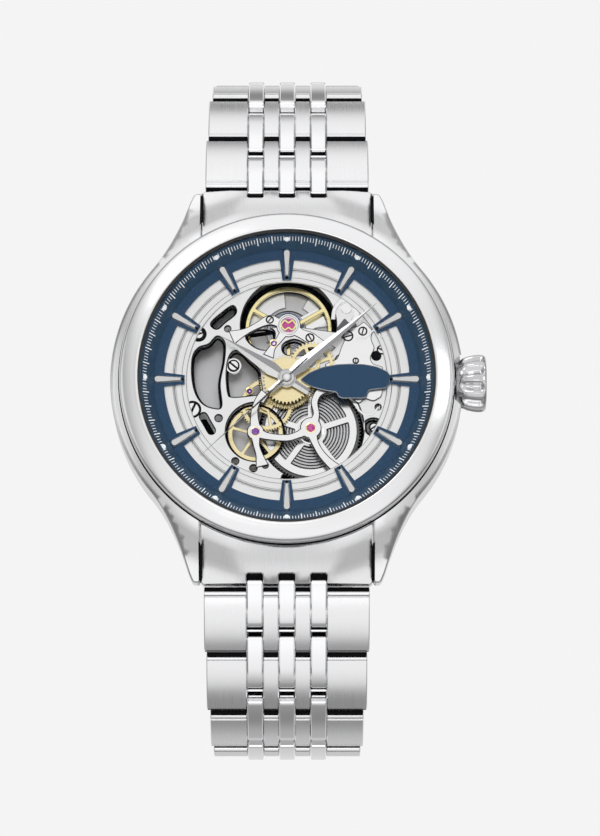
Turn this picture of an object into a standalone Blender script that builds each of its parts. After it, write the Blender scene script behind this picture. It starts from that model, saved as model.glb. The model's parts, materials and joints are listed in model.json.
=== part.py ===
"""Automatic skeleton wristwatch on a seven-column steel bracelet, closed round the wrist.

The dial faces -Y, twelve o'clock is +Z and the crown is +X. The origin is the middle of the
case-back crystal's outer face. Lengths in the calls below are millimetres: the head is drawn in
plan (x, z) with "depth" d measured from the origin towards the dial, so that y = -d.
"""

import math

import bmesh
import bpy
from mathutils import Matrix, Vector

MM = 0.001
GAP = 0.05                     # clearance between neighbouring pieces
CIRCLE = 40                    # facets of a large circle

# Case and bezel
CASE_R = 21.0                  # mid-case radius
CASE_TOP = 8.2
BORE_R = 16.2
SEAT_R = 17.7                  # dial seat and bezel lip
WALL_R = 19.7                  # case wall between the lugs
LUG_GAP = 20.6
LUG_TIP_Z = 23.75
BEZEL_R = 19.9
BEZEL_TOP = 10.8
CRYSTAL_R = 17.3
SPRING_BAR = (20.9, 3.0)       # z, d

# Dial and movement
OPENING_R = 11.9               # open centre of the dial
RING_R = 14.65                 # inner edge of the blue dial ring
PLATE = (6.35, 7.1)            # main plate, low and high d
PLATE_R = 16.1                 # the plate's rim is its casing ring
BRIDGE = (2.45, 3.05)          # train bridge, low and high d
ARBOR = (BRIDGE[1] + GAP, PLATE[0] - GAP)
UPPER_ARBOR = (4.95, PLATE[0] - GAP)

CENTRE = (0.0, 0.0)
BARREL = (2.85, -5.75)
GREAT = (-3.72, -6.2)
THIRD = (-2.376, -2.664)
ESCAPE = (-2.36, 2.6)
PALLET = (-1.4, 4.46)
BALANCE = (0.2, 6.7)
MINUTE_POST = (3.0, 1.9)

# Hands show about 10:08:38
HOUR_AT, MINUTE_AT, SECOND_AT = 303.0, 49.8, 227.1

# Crown and stem
CROWN_D = 5.3
CROWN_X = 20.1
STEM_R = 0.45

# Bracelet
PITCH = 8.0                    # hinge to hinge
THICK = 2.6
COLUMN = 1.904                 # pitch of the five inner columns
COLUMN_W = 1.85
PIN_R = 0.45
BORE_PIN_R = 0.58              # corner radius of the six-sided bores, clear of the pins
FIRST_HINGE = (25.4, 2.2)      # z, d of the hinge at the end link
LEAN = (32, 32, 40, 70, 98, 120, 140, 160)        # lean of end link and links 1..7, degrees
HALF_WIDTH = (10.2, 9.85, 9.6, 9.2, 8.9, 8.6, 8.3, 8.0)
POLISHED_HALF = 3.6            # half length of a polished piece
POLISHED_THICK = 2.4

TILT = Matrix.Rotation(math.radians(90), 4, "X")   # plan to world: local z becomes -Y

for old in list(bpy.data.objects):
    bpy.data.objects.remove(old, do_unlink=True)


def new_collection(name):
    made = bpy.data.collections.new(name)
    bpy.context.scene.collection.children.link(made)
    return made


PARTS = new_collection("skeleton_wristwatch")
CUTTERS = new_collection("cutters")


def finish(name, colour, roughness, metallic=1.0):
    made = bpy.data.materials.new(name)
    made.use_nodes = True
    shader = made.node_tree.nodes["Principled BSDF"]
    shader.inputs["Base Color"].default_value = (*colour, 1)
    shader.inputs["Roughness"].default_value = roughness
    shader.inputs["Metallic"].default_value = metallic
    return made


POLISHED = ("polished_steel", (0.72, 0.73, 0.75), 0.08)
BRUSHED = ("brushed_steel", (0.60, 0.61, 0.63), 0.32)
SILVER = ("silvered", (0.78, 0.78, 0.78), 0.30)
PLATED = ("rhodium", (0.66, 0.66, 0.67), 0.28)
DARK = ("dark_steel", (0.16, 0.16, 0.17), 0.35)
BLUE = ("blue_lacquer", (0.016, 0.075, 0.19), 0.35)
GILT = ("gilt", (0.80, 0.58, 0.26), 0.25)
GLASS = ("sapphire", (0.90, 0.94, 0.97), 0.02, 0.0)
SEAL = ("seal", (0.02, 0.02, 0.02), 0.6, 0.0)


# Flat outlines: lists of (x, y) points in millimetres

def arc(centre, radius, start, end, count):
    """Points on a circle from one angle to another, in degrees anticlockwise from +x."""
    angles = [math.radians(start + (end - start) * k / count) for k in range(count + 1)]
    return [(centre[0] + radius * math.cos(a), centre[1] + radius * math.sin(a)) for a in angles]


def circle(centre, radius, count=CIRCLE, phase=0.0):
    return arc(centre, radius, phase, phase + 360, count)[:-1]


def sector(centre, inner, outer, start, end, count=10):
    """A ring sector between two radii."""
    return arc(centre, outer, start, end, count) + arc(centre, inner, end, start, max(count // 2, 3))


def rectangle(x0, y0, x1, y1, corner=0.0):
    if not corner:
        return [(x0, y0), (x1, y0), (x1, y1), (x0, y1)]
    points = []
    for cx, cy, start in ((x1, y0, 270), (x1, y1, 0), (x0, y1, 90), (x0, y0, 180)):
        middle = (cx - math.copysign(corner, cx - (x0 + x1) / 2),
                  cy - math.copysign(corner, cy - (y0 + y1) / 2))
        points += arc(middle, corner, start, start + 90, 3)
    return points


def curve_points(start, control, end, count):
    """A quadratic curve from start to end, pulled towards control."""
    steps = [k / count for k in range(count + 1)]
    return [tuple((1 - t) ** 2 * a + 2 * t * (1 - t) * b + t * t * c
                  for a, b, c in zip(start, control, end)) for t in steps]


def turned_by(points, degrees, shift=(0.0, 0.0)):
    """The points turned clockwise in plan, then moved."""
    a = math.radians(degrees)
    return [(x * math.cos(a) + y * math.sin(a) + shift[0],
             y * math.cos(a) - x * math.sin(a) + shift[1]) for x, y in points]


def gear_outline(teeth, pitch_r, phase, tip=0.8, root=1.1):
    """V-shaped teeth: one at the angle phase (degrees) and the others at equal steps."""
    module = 2 * pitch_r / teeth
    points = []
    for k in range(teeth):
        at = phase + 360 * k / teeth
        points += arc((0, 0), pitch_r + tip * module, at, at, 1)[:1]
        points += arc((0, 0), pitch_r - root * module, at + 180 / teeth, at, 1)[:1]
    return points


def meshing_phase(driver, driver_teeth, driver_phase, driven, driven_teeth):
    """Angle of a tooth on the driven wheel that puts its gap over the driver's tooth."""
    line = math.degrees(math.atan2(driven[1] - driver[1], driven[0] - driver[0]))
    gap_at = line + 180 - (driver_phase - line) * driver_teeth / driven_teeth
    return gap_at + 180 / driven_teeth


def windows(count, inner, outer, arm, phase):
    """The openings between the spokes of a wheel; arm is the spoke's width."""
    loops = []
    for k in range(count):
        start, end = phase + 360 * k / count, phase + 360 * (k + 1) / count
        wide, narrow = (math.degrees(arm / 2 / r) for r in (outer, inner))
        steps = max(3, int(outer * (end - start) / 80))
        loops.append(arc((0, 0), outer, start + wide, end - wide, steps)
                     + arc((0, 0), inner, end - narrow, start + narrow, 2))
    return loops


# Meshes

def tidy_mesh(mesh, matrix):
    """Welds a mesh, turns its faces outwards and moves it, from millimetres to metres."""
    work = bmesh.new()
    work.from_mesh(mesh)
    bmesh.ops.remove_doubles(work, verts=work.verts, dist=1e-5)
    bmesh.ops.transform(work, matrix=Matrix.Scale(MM, 4) @ matrix, verts=work.verts)
    bmesh.ops.recalc_face_normals(work, faces=work.faces)
    work.to_mesh(mesh)
    work.free()
    return mesh


def flat_mesh(loops, low, high, matrix=None):
    """A flat outline, with the later loops as holes, filled from height low to high."""
    curve = bpy.data.curves.new("outline", "CURVE")
    curve.dimensions = "2D"
    curve.fill_mode = "BOTH"
    curve.extrude = (high - low) / 2
    for loop in loops:
        spline = curve.splines.new("POLY")
        spline.points.add(len(loop) - 1)
        for point, (x, y) in zip(spline.points, loop):
            point.co = (x, y, 0, 1)
        spline.use_cyclic_u = True
    holder = bpy.data.objects.new("outline", curve)
    CUTTERS.objects.link(holder)
    bpy.context.view_layer.update()
    graph = bpy.context.evaluated_depsgraph_get()
    mesh = bpy.data.meshes.new_from_object(holder.evaluated_get(graph))
    bpy.data.objects.remove(holder, do_unlink=True)
    lift = Matrix.Translation((0, 0, (low + high) / 2))
    return tidy_mesh(mesh, (matrix or Matrix()) @ lift)


def rod_mesh(radius, low, high, sides=12, matrix=None):
    """A round bar along local z."""
    work = bmesh.new()
    bmesh.ops.create_cone(work, cap_ends=True, segments=sides, radius1=radius, radius2=radius,
                          depth=high - low)
    mesh = bpy.data.meshes.new("rod")
    work.to_mesh(mesh)
    work.free()
    return tidy_mesh(mesh, (matrix or Matrix()) @ Matrix.Translation((0, 0, (low + high) / 2)))


def merged(meshes):
    """One mesh that holds several."""
    work = bmesh.new()
    for mesh in meshes:
        work.from_mesh(mesh)
    made = bpy.data.meshes.new("group")
    work.to_mesh(made)
    work.free()
    return made


# Objects

def add_object(name, mesh, home, look=None, centre=CENTRE, matrix=TILT):
    made = bpy.data.objects.new(name, mesh)
    home.objects.link(made)
    made.matrix_world = Matrix.Translation((centre[0] * MM, 0, centre[1] * MM)) @ matrix
    if look:
        mesh.materials.append(finish(name + "_" + look[0], *look[1:]))
    return made


def helper(mesh, like):
    """A cutter or an added shape, placed as the object that uses it."""
    made = add_object("helper", mesh, CUTTERS)
    made.matrix_world = like.matrix_world.copy()
    made.hide_render = True
    made.display_type = "WIRE"
    return made


def combine(made, operation, other):
    modifier = made.modifiers.new(operation.lower(), "BOOLEAN")
    modifier.operation = operation
    modifier.object = other
    return modifier


def solid(name, look, meshes, cuts=(), centre=CENTRE, matrix=TILT):
    """A sub-part: the meshes joined into one body, with the cuts taken out of it."""
    made = add_object(name, meshes[0], PARTS, look, centre, matrix)
    for mesh in meshes[1:]:
        combine(made, "UNION", helper(mesh, made))
    for mesh in cuts:
        combine(made, "DIFFERENCE", helper(mesh, made))
    return made


def turned_shape(made, profile, steps):
    """Turns a profile of (radius, height) points round local z with a Screw modifier."""
    area = sum(a[0] * b[1] - b[0] * a[1] for a, b in zip(profile, profile[1:] + profile[:1]))
    if area > 0:
        profile = profile[::-1]
    closed = all(radius > 0 for radius, _ in profile)
    if not closed:
        start = next(k for k, point in enumerate(profile)
                     if point[0] == 0 and profile[k - 1][0] == 0)
        profile = profile[start:] + profile[:start]
    count = len(profile)
    edges = [(k, (k + 1) % count) for k in range(count if closed else count - 1)]
    made.data.from_pydata([(r * MM, 0, h * MM) for r, h in profile], edges, [])
    screw = made.modifiers.new("turn", "SCREW")
    screw.steps = screw.render_steps = steps
    screw.use_merge_vertices = True
    screw.merge_threshold = 1e-6
    screw.use_smooth_shade = True


def turned(name, look, profile, steps=CIRCLE, centre=CENTRE, matrix=TILT):
    made = add_object(name, bpy.data.meshes.new(name), PARTS, look, centre, matrix)
    turned_shape(made, profile, steps)
    return made


def turned_helper(profile, steps, like):
    made = helper(bpy.data.meshes.new("turned"), like)
    turned_shape(made, profile, steps)
    return made


# Case

CASE_FORM = [(0, 0.9), (17.5, 1.3), (20.5, 0.9), (24, 0.4), (25.6, 0.6), (26.4, 1.2), (26.4, 3.2),
             (25.2, 3.9), (24, 4.6), (22.5, 6.0), (21, 7.4), (19.95, CASE_TOP), (0, CASE_TOP)]


def case_outline():
    """The case and its four lugs, in plan."""
    quarter = arc(CENTRE, CASE_R, 0, 40.5, 8)
    quarter += curve_points((15.9, 13.75), (13.6, 16.4), (11.65, 22.6), 6)
    quarter += [(11.3, 23.4), (10.9, LUG_TIP_Z), (LUG_GAP / 2, LUG_TIP_Z)]
    corner = math.degrees(math.acos(LUG_GAP / 2 / WALL_R))
    quarter += arc(CENTRE, WALL_R, corner, 90, 6)
    right = [(x, -y) for x, y in quarter[::-1]] + quarter[1:]
    return right + [(-x, y) for x, y in right[::-1][1:-1]]


def build_case():
    """The middle, its lugs, the bores that take the movement, and the crown's notch."""
    case = solid("case_body", BRUSHED, [flat_mesh([case_outline()], 0.2, 8.4)])
    combine(case, "INTERSECT", turned_helper(CASE_FORM, CIRCLE, case))
    bore = [(0, 0), (16.75, 0), (16.75, 2.0), (BORE_R, 2.0), (BORE_R, 7.4), (SEAT_R, 7.4),
            (SEAT_R, 9), (0, 9)]
    combine(case, "DIFFERENCE", turned_helper(bore, CIRCLE, case))
    along_x = Matrix.Translation((0, 0, CROWN_D)) @ Matrix.Rotation(math.radians(90), 4, "Y")
    combine(case, "DIFFERENCE", helper(rod_mesh(1.2, 14, 20.5, 16, along_x), case))
    combine(case, "DIFFERENCE", helper(rod_mesh(3.7, 19.95, 24, 32, along_x), case))
    for side in (1, -1):
        at = Matrix.Translation((0, side * SPRING_BAR[0], SPRING_BAR[1]))
        across = at @ Matrix.Rotation(math.radians(90), 4, "Y")
        combine(case, "DIFFERENCE", helper(rod_mesh(0.5, -11.2, 11.2, 12, across), case))


def build_closures():
    """Bezel, crystals, seal and screwed back."""
    turned("bezel", POLISHED, [
        (17.6, 8.25), (BEZEL_R, 8.25), (BEZEL_R, 8.8), (19.4, 10.1), (18.4, BEZEL_TOP),
        (17.78, BEZEL_TOP), (17.78, 9.68), (17.6, 9.68)])
    turned("crystal", GLASS, [
        (0, 9.75), (CRYSTAL_R, 9.75), (CRYSTAL_R, 10.8), (10, 11.13), (0, 11.2)])
    turned("crystal_gasket", SEAL, [(17.35, 9.75), (17.73, 9.75), (17.73, 10.7), (17.35, 10.7)])
    turned("case_back", POLISHED, [
        (11.55, 0.05), (15.6, 0.35), (17.2, 0.8), (17.2, 1.22), (16.65, 1.22), (16.65, 1.9),
        (16.0, 1.9), (16.0, 1.1), (11.55, 1.1)])
    turned("case_back_crystal", GLASS, [(0, 0), (11.5, 0), (11.5, 1.0), (0, 1.0)], 36)


# Dial

def tongue_half_angle(radius):
    return math.degrees(0.68 / radius)


def build_dial():
    """Blue dial ring with twelve tongues and batons, the silvered ring under it, the flange."""
    inner = []
    for k in range(12):
        at = 30 * k
        wide, narrow = tongue_half_angle(RING_R), tongue_half_angle(15.4)
        inner += arc(CENTRE, RING_R, at - 30 + wide, at - wide, 4)
        inner += arc(CENTRE, 12.2, at - narrow, at + narrow, 2)
    batons = []
    for k in range(12):
        shape = [(-0.28, 12.5), (0.28, 12.5), (0.48, 15.6), (0, 15.85), (-0.48, 15.6)]
        batons.append(flat_mesh([turned_by(shape, 30 * k)], 7.7, 8.1))
    solid("dial_ring", BLUE, [flat_mesh([circle(CENTRE, 17.5), inner], 7.5, 7.8), merged(batons)])
    turned("centre_ring", SILVER, [
        (OPENING_R, 7.15), (14.9, 7.15), (14.9, 7.45), (OPENING_R, 7.45)])
    turned("flange_ring", BLUE, [(16.0, 7.86), (17.55, 7.86), (17.55, 9.65), (17.25, 9.65)])
    body = curve_points((1.6, -0.05), (3.6, 1.6), (7.6, 1.88), 5)
    body += curve_points((7.6, 1.88), (10.6, 1.9), (12.25, 0.55), 4)[1:]
    body += [(12.25, -0.45), (11.9, -1.1), (9.8, -1.35), (9.45, -2.1), (9.1, -2.35), (6.4, -2.3),
             (6.0, -2.0), (5.9, -1.6)]
    body += curve_points((5.9, -1.6), (3.2, -1.3), (1.6, -0.05), 4)[1:-1]
    solid("name_plate", BLUE, [flat_mesh([body], 7.84, 8.06)])


def hand_outline(length, tail, half_width, widest, tail_half):
    return [(0, length), (half_width, widest), (tail_half, 0), (tail_half * 0.8, -tail),
            (-tail_half * 0.8, -tail), (-tail_half, 0), (-half_width, widest)]


def build_hands():
    for name, at, low, high, shape, hub, bore in (
            ("hour_hand", HOUR_AT, 8.45, 8.6, (9.55, 3.5, 0.6, 2.6, 0.42), 1.15, 0.88),
            ("minute_hand", MINUTE_AT, 8.85, 9.0, (14.06, 3.0, 0.56, 2.6, 0.36), 0.95, 0.53),
            ("seconds_hand", SECOND_AT, 9.25, 9.35, (14.2, 3.6, 0.16, 1.0, 0.12), 0.55, 0.15)):
        blade = flat_mesh([turned_by(hand_outline(*shape), at)], low, high)
        boss = rod_mesh(hub, low - 0.04, high + 0.04, 16)
        solid(name, POLISHED, [blade, boss], [rod_mesh(bore, low - 1, high + 1, 12)])


# Movement

def gear(name, look, centre, levels, arbor=None, bore=None):
    """A wheel on its arbor: each level is (outline loops, low, high)."""
    meshes = [flat_mesh(loops, low, high) for loops, low, high in levels]
    if arbor:
        meshes.append(rod_mesh(*arbor))
    cuts = [rod_mesh(bore, 0, 12)] if bore else []
    return solid(name, look, meshes, cuts, centre)


def build_train():
    """From the barrel to the escape wheel; every phase follows from the wheel before."""
    barrel_phase = 0.0
    great_phase = meshing_phase(BARREL, 90, barrel_phase, GREAT, 10)
    third_phase = meshing_phase(GREAT, 64, 0.0, THIRD, 8)
    pinion_phase = meshing_phase(THIRD, 60, 0.0, CENTRE, 8)
    escape_phase = meshing_phase(CENTRE, 72, 0.0, ESCAPE, 6)

    cup = turned("barrel", DARK, [
        (1.25, 3.42), (5.4, 3.42), (5.4, 5.0), (4.95, 5.0), (4.95, 3.6), (1.25, 3.6)], 30, BARREL)
    ring = flat_mesh([gear_outline(90, 5.95, barrel_phase), circle(CENTRE, 5.15, 30)], 4.55, 4.9)
    combine(cup, "UNION", helper(ring, cup))
    cover = [circle(CENTRE, 5.5, 30), circle(CENTRE, 1.0, 12)] + windows(5, 1.9, 4.6, 0.7, 90)
    solid("barrel_cover", SILVER, [flat_mesh(cover, 5.05, 5.2)], centre=BARREL)
    solid("ratchet_wheel", PLATED, [flat_mesh([gear_outline(36, 4.2, 0)], 3.12, 3.34),
                                    rod_mesh(0.8, 3.2, 6.25, 12)], centre=BARREL)
    gear("great_wheel", GILT, GREAT, [
        ([gear_outline(64, 3.36, 0.0)] + windows(5, 0.95, 2.75, 0.35, 20), 5.35, 5.5),
        ([gear_outline(10, 0.66, great_phase)], 4.45, 5.4)], (0.2, *ARBOR, 6))
    gear("third_wheel", GILT, THIRD, [
        ([gear_outline(60, 3.15, 0.0)] + windows(4, 0.8, 2.6, 0.32, 10), 5.75, 5.9),
        ([gear_outline(8, 0.42, third_phase)], 5.28, 5.8)], (0.18, *ARBOR, 6))
    gear("seconds_wheel", GILT, CENTRE, [
        ([gear_outline(72, 3.24, 0.0)] + windows(4, 0.7, 2.75, 0.3, 45), 6.05, 6.2),
        ([gear_outline(8, 0.42, pinion_phase)], 5.68, 6.1)], (0.12, ARBOR[0], 9.4, 6))
    saw = []
    for k in range(20):
        saw += [arc(CENTRE, 1.35, 18 * k, 0, 1)[0], arc(CENTRE, 1.75, 18 * k + 9, 0, 1)[0],
                arc(CENTRE, 1.36, 18 * k + 10.5, 0, 1)[0]]
    gear("escape_wheel", PLATED, ESCAPE, [
        ([saw] + windows(4, 0.45, 1.12, 0.2, 0), 5.28, 5.4),
        ([gear_outline(6, 0.27, escape_phase)], 5.35, 6.24)], (0.1, *UPPER_ARBOR, 6))


def build_motion_work():
    """The wheels under the hands: cannon pinion, minute wheel and hour wheel."""
    cannon_phase = 0.0
    minute_phase = meshing_phase(CENTRE, 12, cannon_phase, MINUTE_POST, 36)
    hour_phase = meshing_phase(MINUTE_POST, 10, 0.0, CENTRE, 40)
    gear("cannon_pinion", PLATED, CENTRE, [
        ([gear_outline(12, 0.8875, cannon_phase)], 7.25, 7.5)], (0.5, 7.16, 9.05, 12), 0.25)
    gear("minute_wheel", GILT, MINUTE_POST, [
        ([gear_outline(36, 2.6625, minute_phase)] + windows(4, 0.95, 2.1, 0.4, 0), 7.3, 7.42),
        ([gear_outline(10, 0.71, 0.0)], 7.36, 7.72)], (0.15, 7.15, 7.76, 8))
    gear("hour_wheel", GILT, CENTRE, [
        ([gear_outline(40, 2.84, hour_phase)], 7.57, 7.7)], (0.85, 7.6, 8.65, 14), 0.6)


def spiral(centre, inner, outer, turns, width, steps):
    """A flat spiral strip."""
    def side(offset):
        count = int(turns * steps)
        return [arc(centre, inner + (outer - inner) * k / count + offset, 360 * k / steps, 0, 1)[0]
                for k in range(count + 1)]
    return side(width / 2) + side(-width / 2)[::-1]


def build_regulator():
    """Balance, hairspring, cock and pallet fork."""
    rim = [circle(CENTRE, 5.2, 36)] + windows(3, 0.75, 4.7, 0.45, 30)
    gear("balance_wheel", GILT, BALANCE, [(rim, 4.35, 4.85)], (0.2, 3.6, 6.25, 6))
    strip = spiral(CENTRE, 0.5, 2.3, 4.5, 0.1, 12)
    solid("hairspring", BLUE, [flat_mesh([strip], 3.9, 4.05)], centre=BALANCE)
    post = (6.5, 9.8)
    arm = [(0.75, -0.6), (-0.75, 0.6)]
    arm += [(post[0] - BALANCE[0] - 1.0, post[1] - BALANCE[1] + 0.7),
            (post[0] - BALANCE[0] + 0.5, post[1] - BALANCE[1] - 1.0)]
    foot = Matrix.Translation((post[0] - BALANCE[0], post[1] - BALANCE[1], 0))
    solid("balance_cock", PLATED, [
        flat_mesh([arm], 3.14, 3.5), rod_mesh(1.3, 3.1, 3.55, 14),
        rod_mesh(0.85, 3.12, 6.3, 12, foot)], centre=BALANCE)
    toward = math.degrees(math.atan2(BALANCE[0] - PALLET[0], BALANCE[1] - PALLET[1]))
    lever = [(-0.16, 2.0), (-0.12, 0.4), (-1.1, 0.1), (-1.15, -0.25), (-0.95, -0.25), (-0.85, -0.1),
             (-0.15, -0.05), (0, -0.2), (0.15, -0.05), (0.85, -0.1), (0.95, -0.25), (1.15, -0.25),
             (1.1, 0.1), (0.12, 0.4), (0.16, 2.0)]
    solid("pallet_fork", PLATED, [flat_mesh([turned_by(lever, toward)], 5.26, 5.42),
                                  rod_mesh(0.12, *UPPER_ARBOR, 8)], centre=PALLET)
    coil = spiral(CENTRE, 1.35, 4.5, 5.0, 0.2, 12)
    solid("mainspring", PLATED, [flat_mesh([coil], 3.72, 4.8)], centre=BARREL)


def build_plates():
    """Main plate, train bridge, keyless cover and the winding rotor."""
    openings = [
        circle(CENTRE, 0.6, 16),
        sector(BALANCE, 1.5, 5.75, -12, 192, 16),
        sector(GREAT, 0.9, 3.5, 105, 255, 8),
        sector(BARREL, 1.15, 5.7, -62, 66, 9),
        sector(BARREL, 1.15, 5.7, 86, 175, 6),
        sector(BARREL, 1.15, 5.7, 193, 278, 6),
        sector(CENTRE, 7.7, 11.2, 156, 197, 4),
        sector(CENTRE, 9.6, 11.3, 128, 146, 2),
        sector(CENTRE, 9.7, 11.0, 203, 213, 2),
        rectangle(-6.9, -1.9, -3.5, 3.5),
    ]
    solid("main_plate", PLATED, [flat_mesh([circle(CENTRE, PLATE_R)] + openings, *PLATE)])
    cover = [sector(CENTRE, 6.8, 11.6, -14, 37, 12), circle((9.2, 3.9), 0.5, 12),
             circle((10.3, -1.1), 0.45, 12)]
    solid("keyless_cover", POLISHED, [flat_mesh(cover, PLATE[1] + GAP, 7.35)])
    bridge = [circle(CENTRE, 12.6), sector(CENTRE, 6.5, 11.4, -40, 20, 5), circle(BALANCE, 2.6, 16)]
    solid("train_bridge", PLATED, [flat_mesh(bridge, *BRIDGE)])
    web = [sector(CENTRE, 2.0, 11.1, 180, 360, 16)]
    web += [sector(CENTRE, 4.2, 9.0, 200 + 48 * k, 236 + 48 * k, 3) for k in range(3)]
    solid("rotor", PLATED, [
        flat_mesh(web, 1.75, 2.0),
        flat_mesh([sector(CENTRE, 9.7, 11.3, 181, 359, 16)], 1.35, 2.25),
        flat_mesh([circle(CENTRE, 2.4, 20), circle(CENTRE, 1.56, 20)], 1.5, 2.2)])
    turned("rotor_bearing", POLISHED, [(0, 1.35), (1.4, 1.35), (1.5, 1.45), (1.5, 2.4), (0, 2.4)], 16)


def build_crown():
    """Fluted crown, its tube in the case, and the winding stem with its sliding pinion."""
    along = Matrix.Translation((0, -CROWN_D * MM, 0)) @ Matrix.Rotation(math.radians(90), 4, "Y")
    crown = turned("crown", POLISHED, [
        (1.5, CROWN_X), (2.35, CROWN_X), (3.0, 21.0), (3.4, 22.2), (3.45, 23.2), (3.1, 23.75),
        (0, 23.8), (0, 22.2), (1.5, 22.2)], 30, matrix=along)
    flutes = [rod_mesh(0.62, 20.5, 23.3, 6, Matrix.Rotation(math.radians(36 * k), 4, "Z")
                       @ Matrix.Translation((3.72, 0, 0))) for k in range(10)]
    combine(crown, "DIFFERENCE", helper(merged(flutes), crown))
    turned("crown_tube", POLISHED, [(0.55, 16.4), (1.15, 16.4), (1.15, 20.9), (0.55, 20.9)], 16,
           matrix=along)
    turned("crown_gasket", SEAL, [(1.2, 20.3), (1.44, 20.3), (1.44, 20.7), (1.2, 20.7)], 16,
           matrix=along)
    solid("winding_stem", DARK, [rod_mesh(STEM_R, 9.8, 22.1, 10),
                                 flat_mesh([gear_outline(10, 0.55, 0)], 10.4, 12.2)], matrix=along)


# Bracelet

def chain():
    """(z, d) of the hinges, from the end link's to the clasp's."""
    z, d = FIRST_HINGE
    points = [(z, d)]
    for lean in LEAN[1:]:
        z += PITCH * math.cos(math.radians(lean))
        d -= PITCH * math.sin(math.radians(lean))
        points.append((z, d))
    return points


def link_frame(hinge, lean, side):
    """World matrix at a hinge: local x runs along the link, y points off the wrist."""
    a = math.radians(lean)
    along = Vector((0, math.sin(a), side * math.cos(a)))
    outward = Vector((0, -math.cos(a), side * math.sin(a)))
    matrix = Matrix((along, outward, along.cross(outward))).transposed().to_4x4()
    matrix.translation = Vector((0, -hinge[1], side * hinge[0])) * MM
    return matrix


def brushed_outline(end, rounded_end):
    """Side view of a brushed piece, round about its hinge."""
    half = THICK / 2
    shape = arc((0, 0), half, 90, 270, 4)
    if rounded_end:
        return shape + arc((end, 0), half, -90, 90, 4)
    return shape + [(end, -half), (end, half)]


def polished_mesh(middle, half_length, turn):
    """The three polished pieces of one row, turned about the middle."""
    shape = rectangle(-half_length, -POLISHED_THICK / 2, half_length, POLISHED_THICK / 2)
    shape = turned_by(shape, turn, middle)
    return [flat_mesh([shape], at - COLUMN_W / 2, at + COLUMN_W / 2)
            for at in (-2 * COLUMN, 0, 2 * COLUMN)]


def column_ranges(half_width):
    """The four brushed columns of a row."""
    inner, outer = COLUMN - COLUMN_W / 2, COLUMN + COLUMN_W / 2
    edge = 2 * COLUMN + COLUMN_W / 2 + 0.06
    return [(-half_width, -edge), (-outer, -inner), (inner, outer), (edge, half_width)]


def cross_pin(at, half_length, sides=6):
    return rod_mesh(PIN_R, -half_length, half_length, sides, Matrix.Translation((*at, 0)))


def build_link(side, number, hinges):
    name = f"link_{'upper' if side > 0 else 'lower'}_{number}"
    frame = link_frame(hinges[number - 1], LEAN[number], side)
    last = number == len(LEAN) - 1
    width = HALF_WIDTH[number]
    end = PITCH if last else PITCH - THICK / 2 - 0.12
    bores = [circle((0, 0), BORE_PIN_R, 6)]
    if last:
        bores.append(circle((PITCH, 0), BORE_PIN_R, 6))
    blocks = [flat_mesh([brushed_outline(end, last)] + bores, low, high)
              for low, high in column_ranges(width)]
    if last:
        blocks += polished_mesh((5.7, 0), 1.2, 0)
        pins = [cross_pin((5.4, 0), width - 0.5, 4)]
    else:
        bend = (LEAN[number + 1] - LEAN[number]) / 2
        blocks += polished_mesh((PITCH, 0), POLISHED_HALF, bend)
        pins = [cross_pin((5.4, 0), width - 0.5, 4),
                cross_pin((PITCH, 0), HALF_WIDTH[number + 1] - 0.5)]
    solid(name, BRUSHED, [merged(pins), merged(blocks)], matrix=frame)


def build_end_link(side, hinge):
    """The piece between the lugs, shaped like them, with the first polished row."""
    place = "upper" if side > 0 else "lower"
    half, end, notch = LUG_GAP / 2 - 0.1, 24.0, 21.6
    corner = math.degrees(math.acos(half / (BEZEL_R + 0.1)))
    outline = arc(CENTRE, BEZEL_R + 0.1, 180 - corner, corner, 10)
    columns = column_ranges(half)[::-1]
    for (low, high), following in zip(columns, columns[1:] + [None]):
        outline += [(high, end), (low, end)]
        if following:
            outline += [(low, notch), (following[1], notch)]
    outline = [(x, side * y) for x, y in outline]
    made = solid("end_link_" + place, BRUSHED, [flat_mesh([outline], 0.9, 8.3)])
    combine(made, "INTERSECT", turned_helper(CASE_FORM, CIRCLE, made))
    slope = [(16, 1.3), (23.4, 0.95), (24.6, 1.3), (24.6, 3.5), (23.2, 5.1), (21.0, 7.0),
             (19.4, 7.9), (16, 8.0)]
    turn = Matrix((Vector((0, 0, 1)), Vector((side, 0, 0)), Vector((0, 1, 0)))).to_4x4()
    combine(made, "INTERSECT", helper(flat_mesh([slope], -12, 12, turn), made))
    across = Matrix.Translation((0, side * SPRING_BAR[0], SPRING_BAR[1])) \
        @ Matrix.Rotation(math.radians(90), 4, "Y")
    combine(made, "DIFFERENCE", helper(rod_mesh(0.75, -12, 12, 12, across), made))
    frame = link_frame(hinge, LEAN[0], side)
    blocks = polished_mesh((0, 0), POLISHED_HALF, 0)
    pins = [cross_pin((-2.6, 0), half - 0.5, 4), cross_pin((0, 0), HALF_WIDTH[1] - 0.5)]
    for mesh in (merged(blocks), merged(pins)):
        extra = helper(mesh, made)
        extra.matrix_world = frame
        combine(made, "UNION", extra)
    bar = Matrix.Translation((0, -SPRING_BAR[1] * MM, side * SPRING_BAR[0] * MM)) \
        @ Matrix.Rotation(math.radians(90), 4, "Y")
    solid("spring_bar_" + place, PLATED, [rod_mesh(0.65, -9.9, 9.9, 12),
                                          rod_mesh(0.4, -11.0, 11.0, 12)], matrix=bar)


# Clasp: a channel that folds over two blades, carried by the lower half of the bracelet

def clasp_frame(z, d):
    """Local x runs up the wrist side of the loop (+Z), y points at the wrist, z is +X."""
    matrix = Matrix((Vector((0, 0, 1)), Vector((0, -1, 0)), Vector((1, 0, 0)))).transposed()
    matrix = matrix.to_4x4()
    matrix.translation = Vector((0, -d, z)) * MM
    return matrix


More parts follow.
